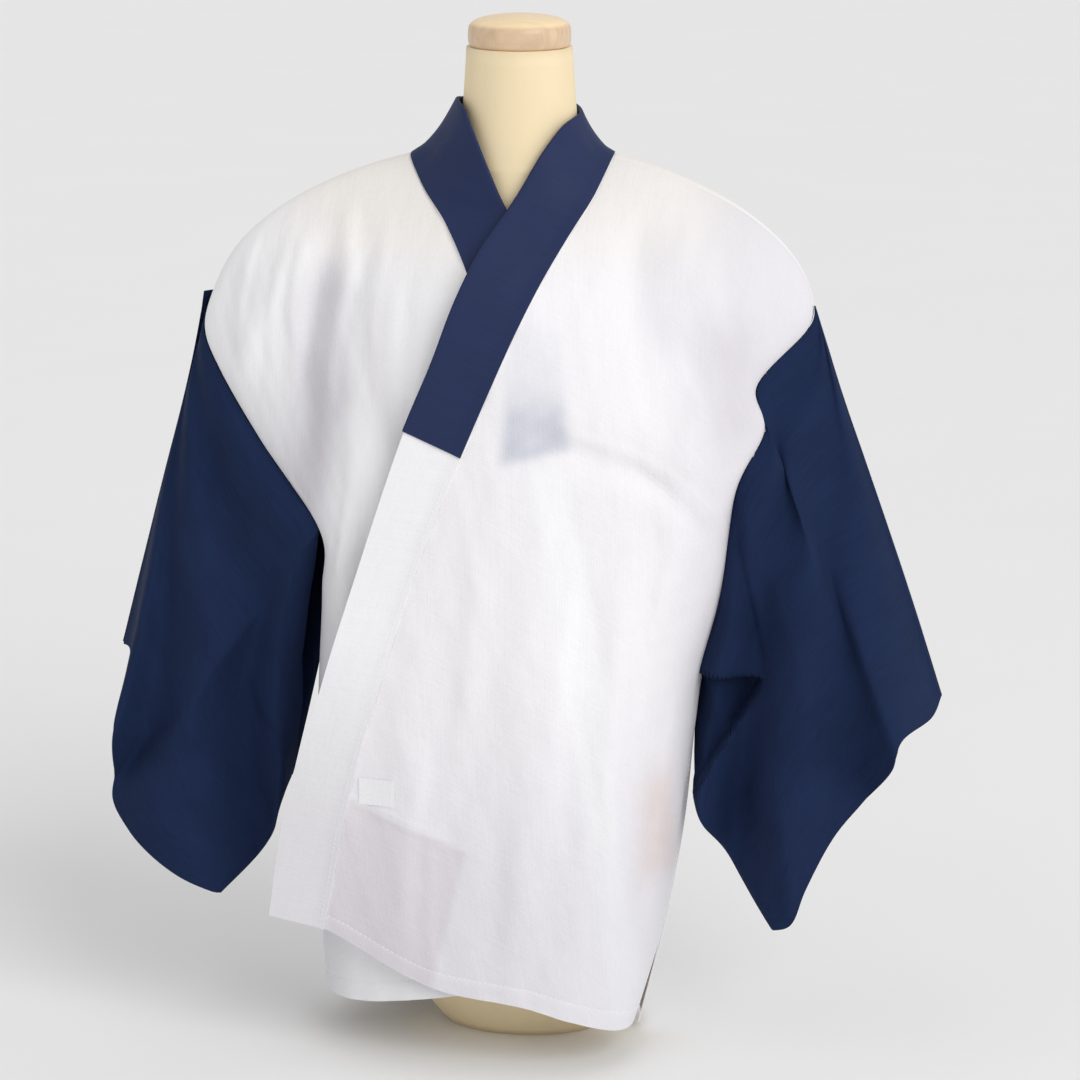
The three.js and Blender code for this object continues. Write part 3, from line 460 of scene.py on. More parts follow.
def across_at(surface, row, x):
    """How far across the cloth reaches x in a row."""
    like = np.asarray(row, float) + np.zeros(np.shape(x))
    return solve(-1, 1, lambda at: surface(like, at)[..., 0] - x, like)


def place_at(surface, x, z):
    """The row and across of a surface that lie at x and z."""
    def below(row):
        return z - surface(row, across_at(surface, row, x))[..., 2]

    row = solve(0, LAST_ROW, below, np.zeros(np.shape(x)))
    return row, across_at(surface, row, x)


def point_at(surface, x, z):
    return surface(*place_at(surface, x, z))


# ---------- cloth as meshes ----------
def out_of_grid(grid, closed):
    """The way out of a grid's surface at each of its points."""
    down = np.gradient(grid, axis=0)
    if closed:
        side = np.roll(grid, -1, axis=1) - np.roll(grid, 1, axis=1)
    else:
        side = np.gradient(grid, axis=1)
    return unit(np.cross(down, side))


def flat_map(grid, grain=None):
    """Places on the cloth laid flat, in millimetres across and down. The warp is straight at x = grain."""
    across = np.linalg.norm(np.diff(grid, axis=1), axis=-1)
    down = np.linalg.norm(np.diff(grid, axis=0), axis=-1)
    u = np.concatenate([np.zeros((len(grid), 1)), np.cumsum(across, axis=1)], axis=1)
    v = np.concatenate([np.zeros((1, grid.shape[1])), np.cumsum(down, axis=0)], axis=0)
    if grain is not None:
        start = np.argmin(np.abs(grid[..., 0] - grain), axis=1)
        nearest = np.take_along_axis(grid[..., 0], start[:, None], axis=1)
        u = u - np.take_along_axis(u, start[:, None], axis=1) + np.abs(nearest) - abs(grain)
        v = v - v[len(v) // 2]
    return stack(u, v)


def clear_selection():
    for thing in bpy.context.selected_objects:
        thing.select_set(False)


def make_active(piece):
    clear_selection()
    piece.select_set(True)
    bpy.context.view_layer.objects.active = piece


def finish_mesh(piece, angle=50):
    make_active(piece)
    bpy.ops.object.shade_smooth_by_angle(angle=math.radians(angle))
    clear_selection()


def new_piece(name, mesh, material):
    piece = bpy.data.objects.new(name, mesh)
    bpy.context.collection.objects.link(piece)
    mesh.materials.append(material)
    make_active(piece)
    return piece


def edit_all(piece, change, **words):
    """Runs one of edit mode's operators on a whole mesh."""
    make_active(piece)
    bpy.ops.object.mode_set(mode="EDIT")
    bpy.ops.mesh.select_all(action="SELECT")
    change(**words)
    bpy.ops.object.mode_set(mode="OBJECT")


def cells(table):
    """The four corners of each cell of a table, in order."""
    return np.stack([table[:-1, :-1], table[1:, :-1], table[1:, 1:], table[:-1, 1:]], 2)


def cloth(name, grid, wall, material, closed=False, flat=None, tint=None):
    """Cloth over a grid of points in millimetres, with its wall, flat map and the tint of what shows through and
    of painted shade.
    """
    rows, columns = grid.shape[:2]
    index = np.arange(rows * columns).reshape(rows, columns)
    corner = (flat_map(grid) if flat is None else flat) * MM
    if closed:
        index = np.hstack([index, index[:, :1]])
        corner = np.hstack([corner, corner[:, :1]])
    mesh = bpy.data.meshes.new(name)
    mesh.from_pydata((grid.reshape(-1, 3) * MM).tolist(), [], cells(index).reshape(-1, 4).tolist())
    mesh.uv_layers.new(name="cloth").data.foreach_set("uv", cells(corner).ravel())
    # The through attribute holds this tint, painted shade included.
    if tint is not None:
        colour = np.concatenate([tint.reshape(-1, 3), np.ones((rows * columns, 1))], axis=1)
        mesh.attributes.new("through", "FLOAT_COLOR", "POINT").data.foreach_set("color", colour.ravel())
    piece = new_piece(name, mesh, material)
    solidify = piece.modifiers.new("wall", "SOLIDIFY")
    solidify.thickness = wall
    solidify.offset = 0
    bpy.ops.object.modifier_apply(modifier="wall")
    finish_mesh(piece)
    return piece


STITCH_LIFTS = [-0.6, 0.5, 0.9, 0.5, -0.6]  # of a stitch's middle line along it, in thread radii
STITCH_SIDES = 5


def sew(name, runs, sizes, material):
    """Stitches along runs of (points, way out), in millimetres: short threads that dip in at both ends."""
    thread = sizes.thread / MM / 2
    stitch = sizes.stitch / MM
    step = stitch + sizes.stitch_gap / MM
    lifts = np.array(STITCH_LIFTS) * thread
    turns = np.arange(STITCH_SIDES) * 2 * math.pi / STITCH_SIDES
    ring = np.array([(math.cos(a), math.sin(a)) for a in turns]) * thread
    sides = np.arange(STITCH_SIDES)
    points, faces = [], []
    for path, out in runs:
        walked = np.concatenate([[0], np.cumsum(np.linalg.norm(np.diff(path, axis=0), axis=-1))])
        for start in np.arange(step / 2, walked[-1] - stitch, step):
            at = start + np.linspace(0, stitch, len(lifts))
            line, away = [np.stack([np.interp(at, walked, part[:, i]) for i in range(3)], -1)
                          for part in (path, out)]
            away = unit(away)
            line = line + away * lifts[:, None]
            side = unit(np.cross(away, np.gradient(line, axis=0)))
            tube = line[:, None] + side[:, None] * ring[None, :, :1] + away[:, None] * ring[None, :, 1:]
            rings = len(points) * len(lifts) * STITCH_SIDES + STITCH_SIDES * np.arange(len(lifts))
            points.append(tube.reshape(-1, 3))
            for a, b in zip(rings, rings[1:]):
                faces += [(a + j, a + k, b + k, b + j) for j, k in zip(sides, np.roll(sides, -1))]
            faces += [tuple(rings[0] + sides[::-1]), tuple(rings[-1] + sides)]
    mesh = bpy.data.meshes.new(name)
    mesh.from_pydata((np.concatenate(points) * MM).tolist(), [], faces)
    piece = new_piece(name, mesh, material)
    edit_all(piece, bpy.ops.mesh.normals_make_consistent, inside=False)
    finish_mesh(piece, 60)
    return piece


# ---------- materials ----------
FACTOR, DARK, LIGHT, MIXED = 0, 6, 7, 2  # the sockets of a Mix node that mixes colours


def add_node(tree, kind, sockets=None, **settings):
    """Adds a node. sockets gives each input a value, or the output that it links from."""
    node = tree.nodes.new(kind)
    for name, value in settings.items():
        setattr(node, name, value)
    for name, value in (sockets or {}).items():
        if isinstance(value, bpy.types.NodeSocket):
            tree.links.new(value, node.inputs[name])
        else:
            node.inputs[name].default_value = value
    return node


def made_once(name):
    """Makes the material of this name by a function that fills its tree, or finds it if it is there."""
    def wrap(fill):
        def material(colours):
            found = bpy.data.materials.get(name)
            if found is None:
                found = bpy.data.materials.new(name)
                found.use_nodes = True
                fill(colours, found.node_tree, found.node_tree.nodes["Principled BSDF"])
            return found
        return material
    return wrap


def finish(tree, shader, colour, relief, values):
    """Gives a shader its colour, its relief of (height, metres, strength), coarse to fine, and its values."""
    tree.links.new(colour, shader.inputs["Base Color"])
    below = {}
    for height, distance, strength in relief:
        bump = add_node(tree, "ShaderNodeBump",
                        {"Height": height, "Distance": distance, "Strength": strength, **below})
        below = {"Normal": bump.outputs["Normal"]}
    for output in below.values():
        tree.links.new(output, shader.inputs["Normal"])
    for name, value in values.items():
        shader.inputs[name].default_value = value


def plain_weave(tree, spacing, place):
    """Height of a plain weave: warp and weft threads of this spacing in metres."""
    sockets = {"Vector": place, "Scale": math.pi / 10 / spacing, "Distortion": 1.2, "Detail": 2.0,
               "Detail Scale": 1.5}
    waves = [add_node(tree, "ShaderNodeTexWave", sockets, bands_direction=direction).outputs["Fac"]
             for direction in ("X", "Y")]
    return add_node(tree, "ShaderNodeMath", {0: waves[0], 1: waves[1]}, operation="MULTIPLY").outputs["Value"]


def slubs(tree, place, wide, tall, low=0.3, high=0.75):
    """Uneven threads: patches this wide and tall in metres, as shares from 0 to 1."""
    drawn = add_node(tree, "ShaderNodeMapping", {"Vector": place, "Scale": (1 / wide, 1 / tall, 1)})
    noise = add_node(tree, "ShaderNodeTexNoise",
                     {"Vector": drawn.outputs["Vector"], "Scale": 1.0, "Detail": 3.0, "Roughness": 0.55})
    return add_node(tree, "ShaderNodeMapRange", {"Value": noise.outputs["Fac"], "From Min": low,
                                                 "From Max": high}).outputs["Result"]


def scaled(colour, share):
    return [min(1.0, part * share) for part in colour] + [1.0]


def shades(colour, dark, light):
    """The two ends of a mix of shades of one colour."""
    return {DARK: scaled(colour, dark), LIGHT: scaled(colour, light)}


@made_once("woven_white_cotton")
def woven_white_cotton(colours, tree, shader):
    """Bleached plain-weave cotton. The eye sees matt white with faint threads, what lies under it, and painted
    shade, both carried by the through attribute.
    """
    place = add_node(tree, "ShaderNodeUVMap", uv_map="cloth").outputs["UV"]
    # The through attribute holds what shows through the cloth and painted shade in folds, at the sides and low
    # down; the colour is multiplied by it.
    through = add_node(tree, "ShaderNodeAttribute", attribute_name="through").outputs["Color"]
    warp = slubs(tree, place, 0.0028, 0.045)
    weft = slubs(tree, place, 0.05, 0.0028)
    crumple = slubs(tree, place, 0.022, 0.034, 0.25, 0.8)
    threads = add_node(tree, "ShaderNodeMath", {0: warp, 1: weft}, operation="ADD").outputs["Value"]
    halved = add_node(tree, "ShaderNodeMath", {0: threads, 1: 0.5}, operation="MULTIPLY").outputs["Value"]
    base = add_node(tree, "ShaderNodeMix", {FACTOR: halved, **shades(colours.white, 0.976, 1.014)},
                    data_type="RGBA").outputs[MIXED]
    seen = add_node(tree, "ShaderNodeMix", {FACTOR: 1.0, DARK: base, LIGHT: through}, data_type="RGBA",
                    blend_type="MULTIPLY").outputs[MIXED]
    # The real threads are 0.4 mm apart, too fine to show, so they are drawn 2.4 mm apart.
    weave = plain_weave(tree, 0.0024, place)
    finish(tree, shader, seen, [(crumple, 0.0016, 0.35), (halved, 0.0005, 0.35), (weave, 0.0002, 0.35)],
           {"Roughness": 0.92, "Specular IOR Level": 0.2, "Sheen Weight": 0.06, "Sheen Roughness": 0.5})


@made_once("woven_navy_cotton")
def woven_navy_cotton(colours, tree, shader):
    """Dyed plain-weave cotton. The eye sees deep matt navy, lighter along slubs and rubbed places, and lint."""
    place = add_node(tree, "ShaderNodeUVMap", uv_map="cloth").outputs["UV"]
    warp = slubs(tree, place, 0.0024, 0.04)
    rubbed = slubs(tree, place, 0.06, 0.11, 0.42, 0.85)
    lint = slubs(tree, place, 0.0021, 0.0021, 0.7, 0.8)
    seen = add_node(tree, "ShaderNodeMix", {FACTOR: warp, **shades(colours.navy, 0.88, 1.12)},
                    data_type="RGBA").outputs[MIXED]
    for mask, share in ((rubbed, 1.28), (lint, 1.9)):
        seen = add_node(tree, "ShaderNodeMix", {FACTOR: mask, DARK: seen, LIGHT: scaled(colours.navy, share)},
                        data_type="RGBA").outputs[MIXED]
    # The real threads are 0.4 mm apart, too fine to show, so they are drawn 2.4 mm apart.
    weave = plain_weave(tree, 0.0024, place)
    finish(tree, shader, seen, [(warp, 0.0004, 0.35), (weave, 0.00025, 0.4)],
           {"Roughness": 0.88, "Specular IOR Level": 0.12, "Sheen Weight": 0.02, "Sheen Roughness": 0.4,
            "Sheen Tint": [*linear("#8e9cc4"), 1.0]})


@made_once("calendered_navy_collar_cloth")
def calendered_collar_cloth(colours, tree, shader):
    """Fine calendered cloth. The eye sees a smoother navy with fine cross ribs and a silky sheen on folds."""
    place = add_node(tree, "ShaderNodeUVMap", uv_map="cloth").outputs["UV"]
    rib = slubs(tree, place, 0.05, 0.0022)
    spun = add_node(tree, "ShaderNodeMix", {FACTOR: rib, **shades(colours.collar_navy, 0.93, 1.08)},
                    data_type="RGBA").outputs[MIXED]
    # The real threads are 0.25 mm apart, too fine to show, so they are drawn 2 mm apart.
    weave = plain_weave(tree, 0.002, place)
    finish(tree, shader, spun, [(rib, 0.0003, 0.3), (weave, 0.00015, 0.35)],
           {"Roughness": 0.62, "Specular IOR Level": 0.2, "Sheen Weight": 0.02, "Sheen Roughness": 0.35,
            "Sheen Tint": [*linear("#9aa8d0"), 1.0]})


@made_once("spun_white_thread")
def spun_thread(colours, tree, shader):
    """Twisted cotton sewing thread. The eye sees fine matt dashes, a touch brighter than the cloth."""
    place = add_node(tree, "ShaderNodeTexCoord").outputs["Object"]
    twist = add_node(tree, "ShaderNodeTexNoise", {"Vector": place, "Scale": 1800.0, "Detail": 1.0})
    spun = add_node(tree, "ShaderNodeMix", {FACTOR: twist.outputs["Fac"], **shades(colours.white, 0.9, 1.03)},
                    data_type="RGBA").outputs[MIXED]
    finish(tree, shader, spun, [], {"Roughness": 0.8})


@made_once("stretched_cream_cover")
def stretched_cover(colours, tree, shader):
    """Fine knit stretched over the form and sealed. The eye sees smooth cream with faint upright streaks."""
    place = add_node(tree, "ShaderNodeTexCoord").outputs["Object"]
    drawn = add_node(tree, "ShaderNodeMapping", {"Vector": place, "Scale": (60.0, 60.0, 7.0)}).outputs["Vector"]
    streak = add_node(tree, "ShaderNodeTexNoise", {"Vector": drawn, "Scale": 1.0, "Detail": 3.0}).outputs["Fac"]
    fine = add_node(tree, "ShaderNodeTexNoise", {"Vector": place, "Scale": 700.0, "Detail": 2.0}).outputs["Fac"]
    tone = add_node(tree, "ShaderNodeMix", {FACTOR: streak, **shades(colours.cover, 0.95, 1.04)},
                    data_type="RGBA").outputs[MIXED]
    finish(tree, shader, tone, [(fine, 0.0002, 0.35)], {"Roughness": 0.6, "Specular IOR Level": 0.35})


DOME_HEIGHTS = {"From Min": 0.907, "From Max": 0.910}  # where the cap's side turns into its dome, in metres


@made_once("turned_lacquered_wood")
def lacquered_wood(colours, tree, shader):
    """Turned pale wood under satin lacquer. The eye sees fine grain lines, a soft gloss, and a dome painted paler
    as painted light from above.
    """
    place = add_node(tree, "ShaderNodeTexCoord").outputs["Object"]
    turned = add_node(tree, "ShaderNodeMapping", {"Vector": place, "Scale": (26.0, 190.0, 60.0)})
    grain = add_node(tree, "ShaderNodeTexNoise",
                     {"Vector": turned.outputs["Vector"], "Scale": 1.0, "Detail": 4.0, "Roughness": 0.6,
                      "Distortion": 0.4}).outputs["Fac"]
    line = add_node(tree, "ShaderNodeMapRange", {"Value": grain, "From Min": 0.35, "From Max": 0.7})
    height = add_node(tree, "ShaderNodeSeparateXYZ", {"Vector": place}).outputs["Z"]
    # The dome is painted paler than the side: painted light on the top.
    lit_dome = add_node(tree, "ShaderNodeMapRange", {"Value": height, **DOME_HEIGHTS}).outputs["Result"]
    side, top = [add_node(tree, "ShaderNodeMix",
                          {FACTOR: line.outputs["Result"], **shades(colour, dark, 1.04)},
                          data_type="RGBA").outputs[MIXED]
                 for colour, dark in ((colours.wood, 0.84), (colours.lit_dome, 0.93))]
    seen = add_node(tree, "ShaderNodeMix", {FACTOR: lit_dome, DARK: side, LIGHT: top},
                    data_type="RGBA").outputs[MIXED]
    finish(tree, shader, seen, [(grain, 0.0003, 0.25)],
           {"Roughness": 0.38, "Coat Weight": 0.25, "Coat Roughness": 0.25})


@made_once("matt_painted_floor")
def painted_floor(colours, tree, shader):
    """Matt painted floor. The eye sees plain pale grey with hardly any mottling."""
    place = add_node(tree, "ShaderNodeTexCoord").outputs["Object"]
    mottle = add_node(tree, "ShaderNodeTexNoise", {"Vector": place, "Scale": 3.0, "Detail": 2.0}).outputs["Fac"]
    tone = add_node(tree, "ShaderNodeMix", {FACTOR: mottle, **shades(colours.floor, 0.985, 1.01)},
                    data_type="RGBA").outputs[MIXED]
    finish(tree, shader, tone, [], {"Roughness": 0.9})


# ---------- body lengths ----------
PANEL_COLUMNS = 84
HEM_STEPS = np.array([26, 20, 16, 14.4, 13.4, 12.6, 11.4, 8, 4, 1.5, 0])  # rows, by how far from the hem
HEM_PITCH = 82  # about how far one row of the sections reaches near the hem
PANEL_ROWS = np.concatenate([
    np.linspace(0, LAST_ARMHOLE_ROW, 72),
    np.linspace(LAST_ARMHOLE_ROW, LAST_ROW - 30 / HEM_PITCH, 96)[1:],
    LAST_ROW - HEM_STEPS / HEM_PITCH,
])
STITCH_ROW = 4  # of the hem's steps, where its stitches run
EDGE_GAP = 0.8  # between the front's and the back's edge at the open side
HEM_WIDTH = 14  # of the turned up hem, and how soft its upper edge is
HEM_SOFT = 1.6
HEM_GROOVE = 13.2  # how far from the hem its stitches pull it in, and half the groove's width
GROOVE_SPREAD = 1.1
VENT = (0.03, 0.28)  # shares of a panel's rows, from the hem up, between which the vent's edge is stitched
VENT_INSET = 3  # columns in from the edge, where those stitches run


def front_inner(surface, seam):
    """The inner edge of a front: where it meets the collar's seam."""
    def edge(row):
        def beyond(at):
            point = surface(row, at)
            return point[..., 0] - along(seam, point[..., 2])
        return solve(-1, 1, beyond, row)
    return edge


def back_inner(side):
    """The inner edge of a back: half an ellipse round the neck, then down the middle."""
    reach = abs(NECK_LINE["left" if side > 0 else "right"][0])

    def edge(row):
        round_part = np.sqrt(np.maximum(0, 1 - (row / NECK_ROWS[-1]) ** 2))
        return across_at(back, row, side * np.maximum(SEAM / 2, reach * round_part))
    return edge


def panel(surface, side, inner, hem):
    """Rows go down from the shoulder to the hem, columns from the inner edge to the side."""
    places = np.concatenate([np.linspace(0, 2, 200), np.linspace(2, LAST_ROW, 200)[1:]])
    starts = inner(places)
    share = np.linspace(0, 1, PANEL_COLUMNS + 1)

    def at(row):
        return lerp(np.interp(row, places, starts), side, share)

    def above_hem(row):
        point = surface(row, at(row))
        return along(hem, point[..., 0]) - point[..., 2]

    hem_rows = solve(LAST_ARMHOLE_ROW + 1, LAST_ROW, above_hem, share)
    stretch = (hem_rows - LAST_ARMHOLE_ROW) / (LAST_ROW - LAST_ARMHOLE_ROW)
    down = PANEL_ROWS[:, None]
    row = np.minimum(down, LAST_ARMHOLE_ROW) + np.maximum(0, down - LAST_ARMHOLE_ROW) * stretch
    return surface(row, at(row)), row, at(row)


def creased(grid, row, across, creases, facing, strength, seed):
    """Adds the small creases, the cloth's uneven lie and the turned up hem, along y and out of the cloth."""
    x, z = grid[..., 0], grid[..., 2]
    fade = smooth((1 - np.abs(across)) * 9) * smooth(row * 1.2)
    lie = 0.8 * ripple(x * 1.7, z * 0.55, 46, seed) + 0.45 * ripple(x * 2.2, z, 24, seed + 1)
    out = fade * strength * (folds_at(creases, x, z) + lie)
    hem = (LAST_ROW - PANEL_ROWS) * HEM_PITCH
    turned = (0.45 * smooth((HEM_WIDTH - hem) / HEM_SOFT)
              - 0.35 * np.exp(-((hem - HEM_GROOVE) / GROOVE_SPREAD) ** 2))
    wave = 1.6 * ripple(x, z * 0.2, 70, seed + 2) * smooth((90 - hem) / 90)[:, None]
    grid[..., 1] += facing * (out + turned[:, None] + strength * wave * smooth((1 - np.abs(across)) * 6))
    return grid


def part_side(grid, row, facing):
    """Moves the two edges of the side seam apart."""
    below = row[:, -1] > LAST_ARMHOLE_ROW
    grid[below, -1, 1] += facing * EDGE_GAP / 2
    return grid


def slanted(x, z, left, right, low, high, soft):
    """A mask over a four sided patch. Each side is (x, z, x, z)."""
    def beyond(line, sign):
        ax, az, bx, bz = line
        return sign * ((x - ax) * (bz - az) - (z - az) * (bx - ax)) / math.hypot(bx - ax, bz - az)
    return (smooth(0.5 + beyond(left, 1) / soft) * smooth(0.5 + beyond(right, -1) / soft)
            * smooth(0.5 + beyond(low, -1) / soft) * smooth(0.5 + beyond(high, 1) / soft))


def tinted(*layers):
    """White cloth under layers of (mask, colour)."""
    tint = 1
    for mask, code in layers:
        tint = tint * lerp(np.ones(3), np.array(linear(code)), mask[..., None])
    return tint


# Sides of two patches on the outer front, and how soft they are: the half collar's end, which shows through, and
# painted shade over the lower corner, which faces downward below a crease.
COLLAR_END = [(4, 540, 10, 640), (66, 540, 52, 640), (6, 549, 66, 562), (6, 720, 60, 720), 14]
LOW_CORNER_SHADE = [(-151, 143, -133, 244), (-57, 84, -28, 203), (-160, 20, 0, 20), (-133, 244, -28, 203), 6]


def through_and_shade_front(x, z):
    """What shows through the outer front, from the collar down, and painted shade over it."""
    fading = 0.3 * smooth((690 - z) / 60) + 0.7 * smooth((628 - z) / 56)
    blotch = 0.86 + 0.14 * ripple(x, z, 17, 2.2)
    under_band = (smooth((x - along(UNDER_SEAM, z) - 10) / 12) * smooth((along(UNDER_FREE, z) - x) / 12)
                  * smooth((550 - z) / 16))
    shoulders = smooth((z - 680) / 90) * smooth((240 - np.abs(x)) / 120)
    warm = smooth((x - 108) / 26) * smooth((150 - x) / 12) * smooth((292 - z) / 50) * smooth((z - 150) / 40)
    mottle = 0.82 + 0.18 * ripple(x, z, 15, 0.8)
    # Painted shade among these layers: the lower corner, the greying towards the hem and towards the wearer's
    # left side, and the greyer folds.
    return tinted((slanted(x, z, *COLLAR_END) * fading * blotch, "#d3d7e1"), (1 - under_band, "#fbfafb"),
                  (shoulders, "#fbf9f3"), (slanted(x, z, *LOW_CORNER_SHADE), "#f5f2f3"), (warm * mottle, "#f8ece7"),
                  (smooth((400 - z) / 300), "#ededef"), (smooth((x - 130) / 70), "#f0eff1"),
                  (np.clip(folds_at(FOLD_SHADE, x, z), 0, 1), "#e4e2e6"))


def through_and_shade_plain(x, z):
    """What shows through the under front and the backs, and painted shade over it."""
    warm = smooth((z - 680) / 80) * smooth((250 - np.abs(x)) / 110)
    # Painted shade: greyer towards both sides below the chest and towards the hem, and greyer along the folds.
    side_and_low_shade = np.maximum(smooth((np.abs(x) - 110) / 60) * smooth((650 - z) / 110), 0.5 * smooth((220 - z) / 220))
    return tinted((warm, "#fbf7f0"), (side_and_low_shade, "#e9e9eb"), (np.clip(folds_at(FOLD_SHADE, x, z), 0, 1), "#dfdde0"))


GRAIN = {"body_left": 96, "body_right": -112}  # x where the warp hangs straight
BODY_LENGTHS = {
    "body_left": (outer_front, 1, OUTER_SEAM, OUTER_HEM, 0.7),
    "body_right": (under_front, -1, UNDER_SEAM, UNDER_HEM, 2.9),
}


def body_length(name, sizes):
    """The grid of one body length, from the front's hem over the shoulder to the back's, and its tint."""
    surface, side, seam, hem, seed = BODY_LENGTHS[name]
    grid, row, across = panel(surface, side, front_inner(surface, seam), hem)
    fore = part_side(creased(grid, row, across, FRONT_CREASES, -1, sizes.creases, seed), row, -1)
    grid, row, across = panel(back, side, back_inner(side), BACK_HEM)
    rear = part_side(creased(grid, row, across, BACK_CREASES, 1, sizes.creases, seed + 4), row, 1)
    # These tints carry what shows through the cloth and painted shade.
    seen = through_and_shade_front if name == "body_left" else through_and_shade_plain
    tints = [seen(fore[..., 0], fore[..., 2])[:0:-1], through_and_shade_plain(rear[..., 0], rear[..., 2])]
    return np.concatenate([fore[:0:-1], rear]), np.concatenate(tints)


def body_runs(grid, sizes):
    """Where the stitches of a body length run: both hems and both edges of the side vent."""
    out = out_of_grid(grid, False)
    middle = grid[len(grid) // 2].mean(0)
    if ((grid - middle) * out).sum() < 0:
        out = -out
    face = grid + out * (sizes.wall / MM / 2)
    hems = (len(HEM_STEPS) - 1 - STITCH_ROW, len(grid) - len(HEM_STEPS) + STITCH_ROW)
    low, high = [int(len(PANEL_ROWS) * share) for share in VENT]
    vents = (slice(low, high), slice(len(grid) - high, len(grid) - low))
    return ([(face[i], out[i]) for i in hems]
            + [(face[part, -VENT_INSET], out[part, -VENT_INSET]) for part in vents])


def declare_cloth(piece, node, slot, **words):
    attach(piece, BODY)
    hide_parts(node)


def trim(piece):
    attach(piece, BODY)


class HANJUBAN_OT_body_lengths(bpy.types.Operator):
    """Drapes the two white body lengths over the shoulders and stitches their hems and vents"""
    bl_idname = "hanjuban.body_lengths"
    bl_label = "Body lengths"

    def execute(self, context):
        sizes = context.scene.hanjuban_sizes
        colours = context.scene.hanjuban_colours
        cotton = woven_white_cotton(colours)
        thread = spun_thread(colours)
        for name in BODY_LENGTHS:
            grid, tint = body_length(name, sizes)
            flat = flat_map(grid, GRAIN[name])
            piece = cloth(name + "_cloth", grid, sizes.wall, cotton, flat=flat, tint=tint)
            stitches = sew(name + "_stitches", body_runs(grid, sizes), sizes, thread)
            trim(stitches)
            declare_cloth(piece, name, "white_cotton", flat=(0.31, 1.60), area=0.45, held="draped",
                          rests_on=["dress_form"], with_pieces=[stitches])
        return {"FINISHED"}


# ---------- collar ----------
BAND_STEPS = 8  # along the band for each row of its tables
BAND_COLUMNS = 12
BAND_SAG = 7  # how far the band hollows where it turns from the front to the neck
LAP = 1.6  # how far the band's sewn edge lies over the panels, and how high
LAP_LIFT = 1.5
HALF_COLLAR_COLUMNS = 17


@functools.cache
def band_rows():
    """The band's seam and free edge, row by row, from one front's hem to the other's."""
    def on_front(surface, seam_line, free_line, heights, climb):
        z = np.array(heights, float)
        high = z + along(BAND_RISE, z)
        seam = point_at(surface, along(seam_line, z), z)
        free = point_at(surface, along(free_line, high), high)
        top = np.array([height for height, _ in climb], float)
        ends = np.array([edge for _, edge in climb], float)
        return np.vstack([seam, point_at(surface, along(seam_line, top), top)]), np.vstack([free, ends])

    def on_neck(side, rows):
        seam_x, free_z = NECK_LINE[side]
        row = np.array(rows, float)
        turn = row / NECK_ROWS[-1]
        reach = np.sqrt(1 - turn ** 2)
        seam = back(row, across_at(back, row, seam_x * reach))
        free = stack(np.sign(seam_x) * NECK_FREE["x"] * reach,
                     lerp(NECK_FREE["front"], NECK_FREE["back"], turn), lerp(free_z, NECK_FREE["back_z"], turn))
        return seam, free

    outer = on_front(outer_front, OUTER_SEAM, OUTER_FREE, OUTER_BAND, OUTER_CLIMB)
    under = on_front(under_front, UNDER_SEAM, UNDER_FREE, UNDER_BAND, UNDER_CLIMB)
    left = on_neck("left", NECK_ROWS)
    right = on_neck("right", NECK_ROWS[:-1])
    seam = np.vstack([outer[0], left[0], right[0][::-1], under[0][::-1]])
    free = np.vstack([outer[1], left[1], right[1][::-1], under[1][::-1]])
    return seam, free, len(outer[0]), len(left[0]) + len(right[0])


def out_of_band(grid):
    """The way out of the band's face, which looks forward at its first row."""
    out = out_of_grid(grid, False)
    return out * -np.sign(out[0, 0, 1])


def band_surface(share):
    """The band's middle surface at shares of its width, from 0 at the seam to 1 at the free edge."""
    seam, free, outer, neck = band_rows()
    place = np.linspace(0, len(seam) - 1, (len(seam) - 1) * BAND_STEPS + 1)
    start = curve(seam, place / (len(seam) - 1))
    end = curve(free, place / (len(seam) - 1))
    width = np.linalg.norm(end - start, axis=-1)
    start = start - (end - start) * (LAP / width)[:, None]
    sag = BAND_SAG * sum(smooth(1 - np.abs(place - middle) / 3) for middle in (outer - 0.2, outer + neck - 0.8))
    t = np.asarray(share, float)[None, :, None]
    point = start[:, None] + (end - start)[:, None] * t
    inward = unit(stack(-point[..., 0], NECK_Y - point[..., 1], 0 * point[..., 0]))
    dip = (sag[:, None] * (4 * t * (1 - t) * (1 - 0.5 * t))[..., 0])[..., None]
    point = point + inward * dip
    return point + out_of_band(point) * LAP_LIFT * smooth(1 - t * 5)


def half_collar(sizes):
    """The half collar, folded round the band's free edge from one face to the other."""
    share = np.linspace(0.004, 1, HALF_COLLAR_COLUMNS)
    grid = band_surface(share)
    tug = (folds_at(COLLAR_TUGS, grid[..., 0], grid[..., 2]) * smooth(-grid[..., 1] / 20)
           * smooth(share * 5) * smooth((1 - share) * 4))
    lift = (sizes.band_wall + sizes.half_collar_wall) / MM / 2 + 0.3
    out = out_of_band(grid)
    half = len(grid) // 2
    ends = np.where(np.arange(len(grid)) < half, HALF_COLLAR_END["outer"], HALF_COLLAR_END["under"])
    kept = grid[:, -1, 2] > ends
    grid, out, tug = grid[kept], out[kept], tug[kept]
    run = np.arange(len(grid))[:, None] * 4.0
    lie = 0.35 * ripple(run, share[None, :] * 55, 38, 0.4) * smooth((1 - share) * 5)[None, :]
    tuck = 1.1 * smooth(np.sin(run * 0.09) * ripple(run, share[None, :] * 30, 60, 1.2))
    raised = lift + lie + np.maximum(tug, -0.3) + tuck * np.sin(math.pi * share)[None, :]
    upper = grid + out * raised[..., None]
    lower = grid - out * lift
    edge = grid[:, -1]
    ahead = unit(edge - grid[:, -2])
    turns = np.linspace(0, math.pi, 7)[1:-1]
    round_edge = [edge + lift * (out[:, -1] * math.cos(a) + ahead * math.sin(a)) for a in turns]
    return np.concatenate([upper, np.stack(round_edge, 1), lower[:, ::-1]], axis=1)


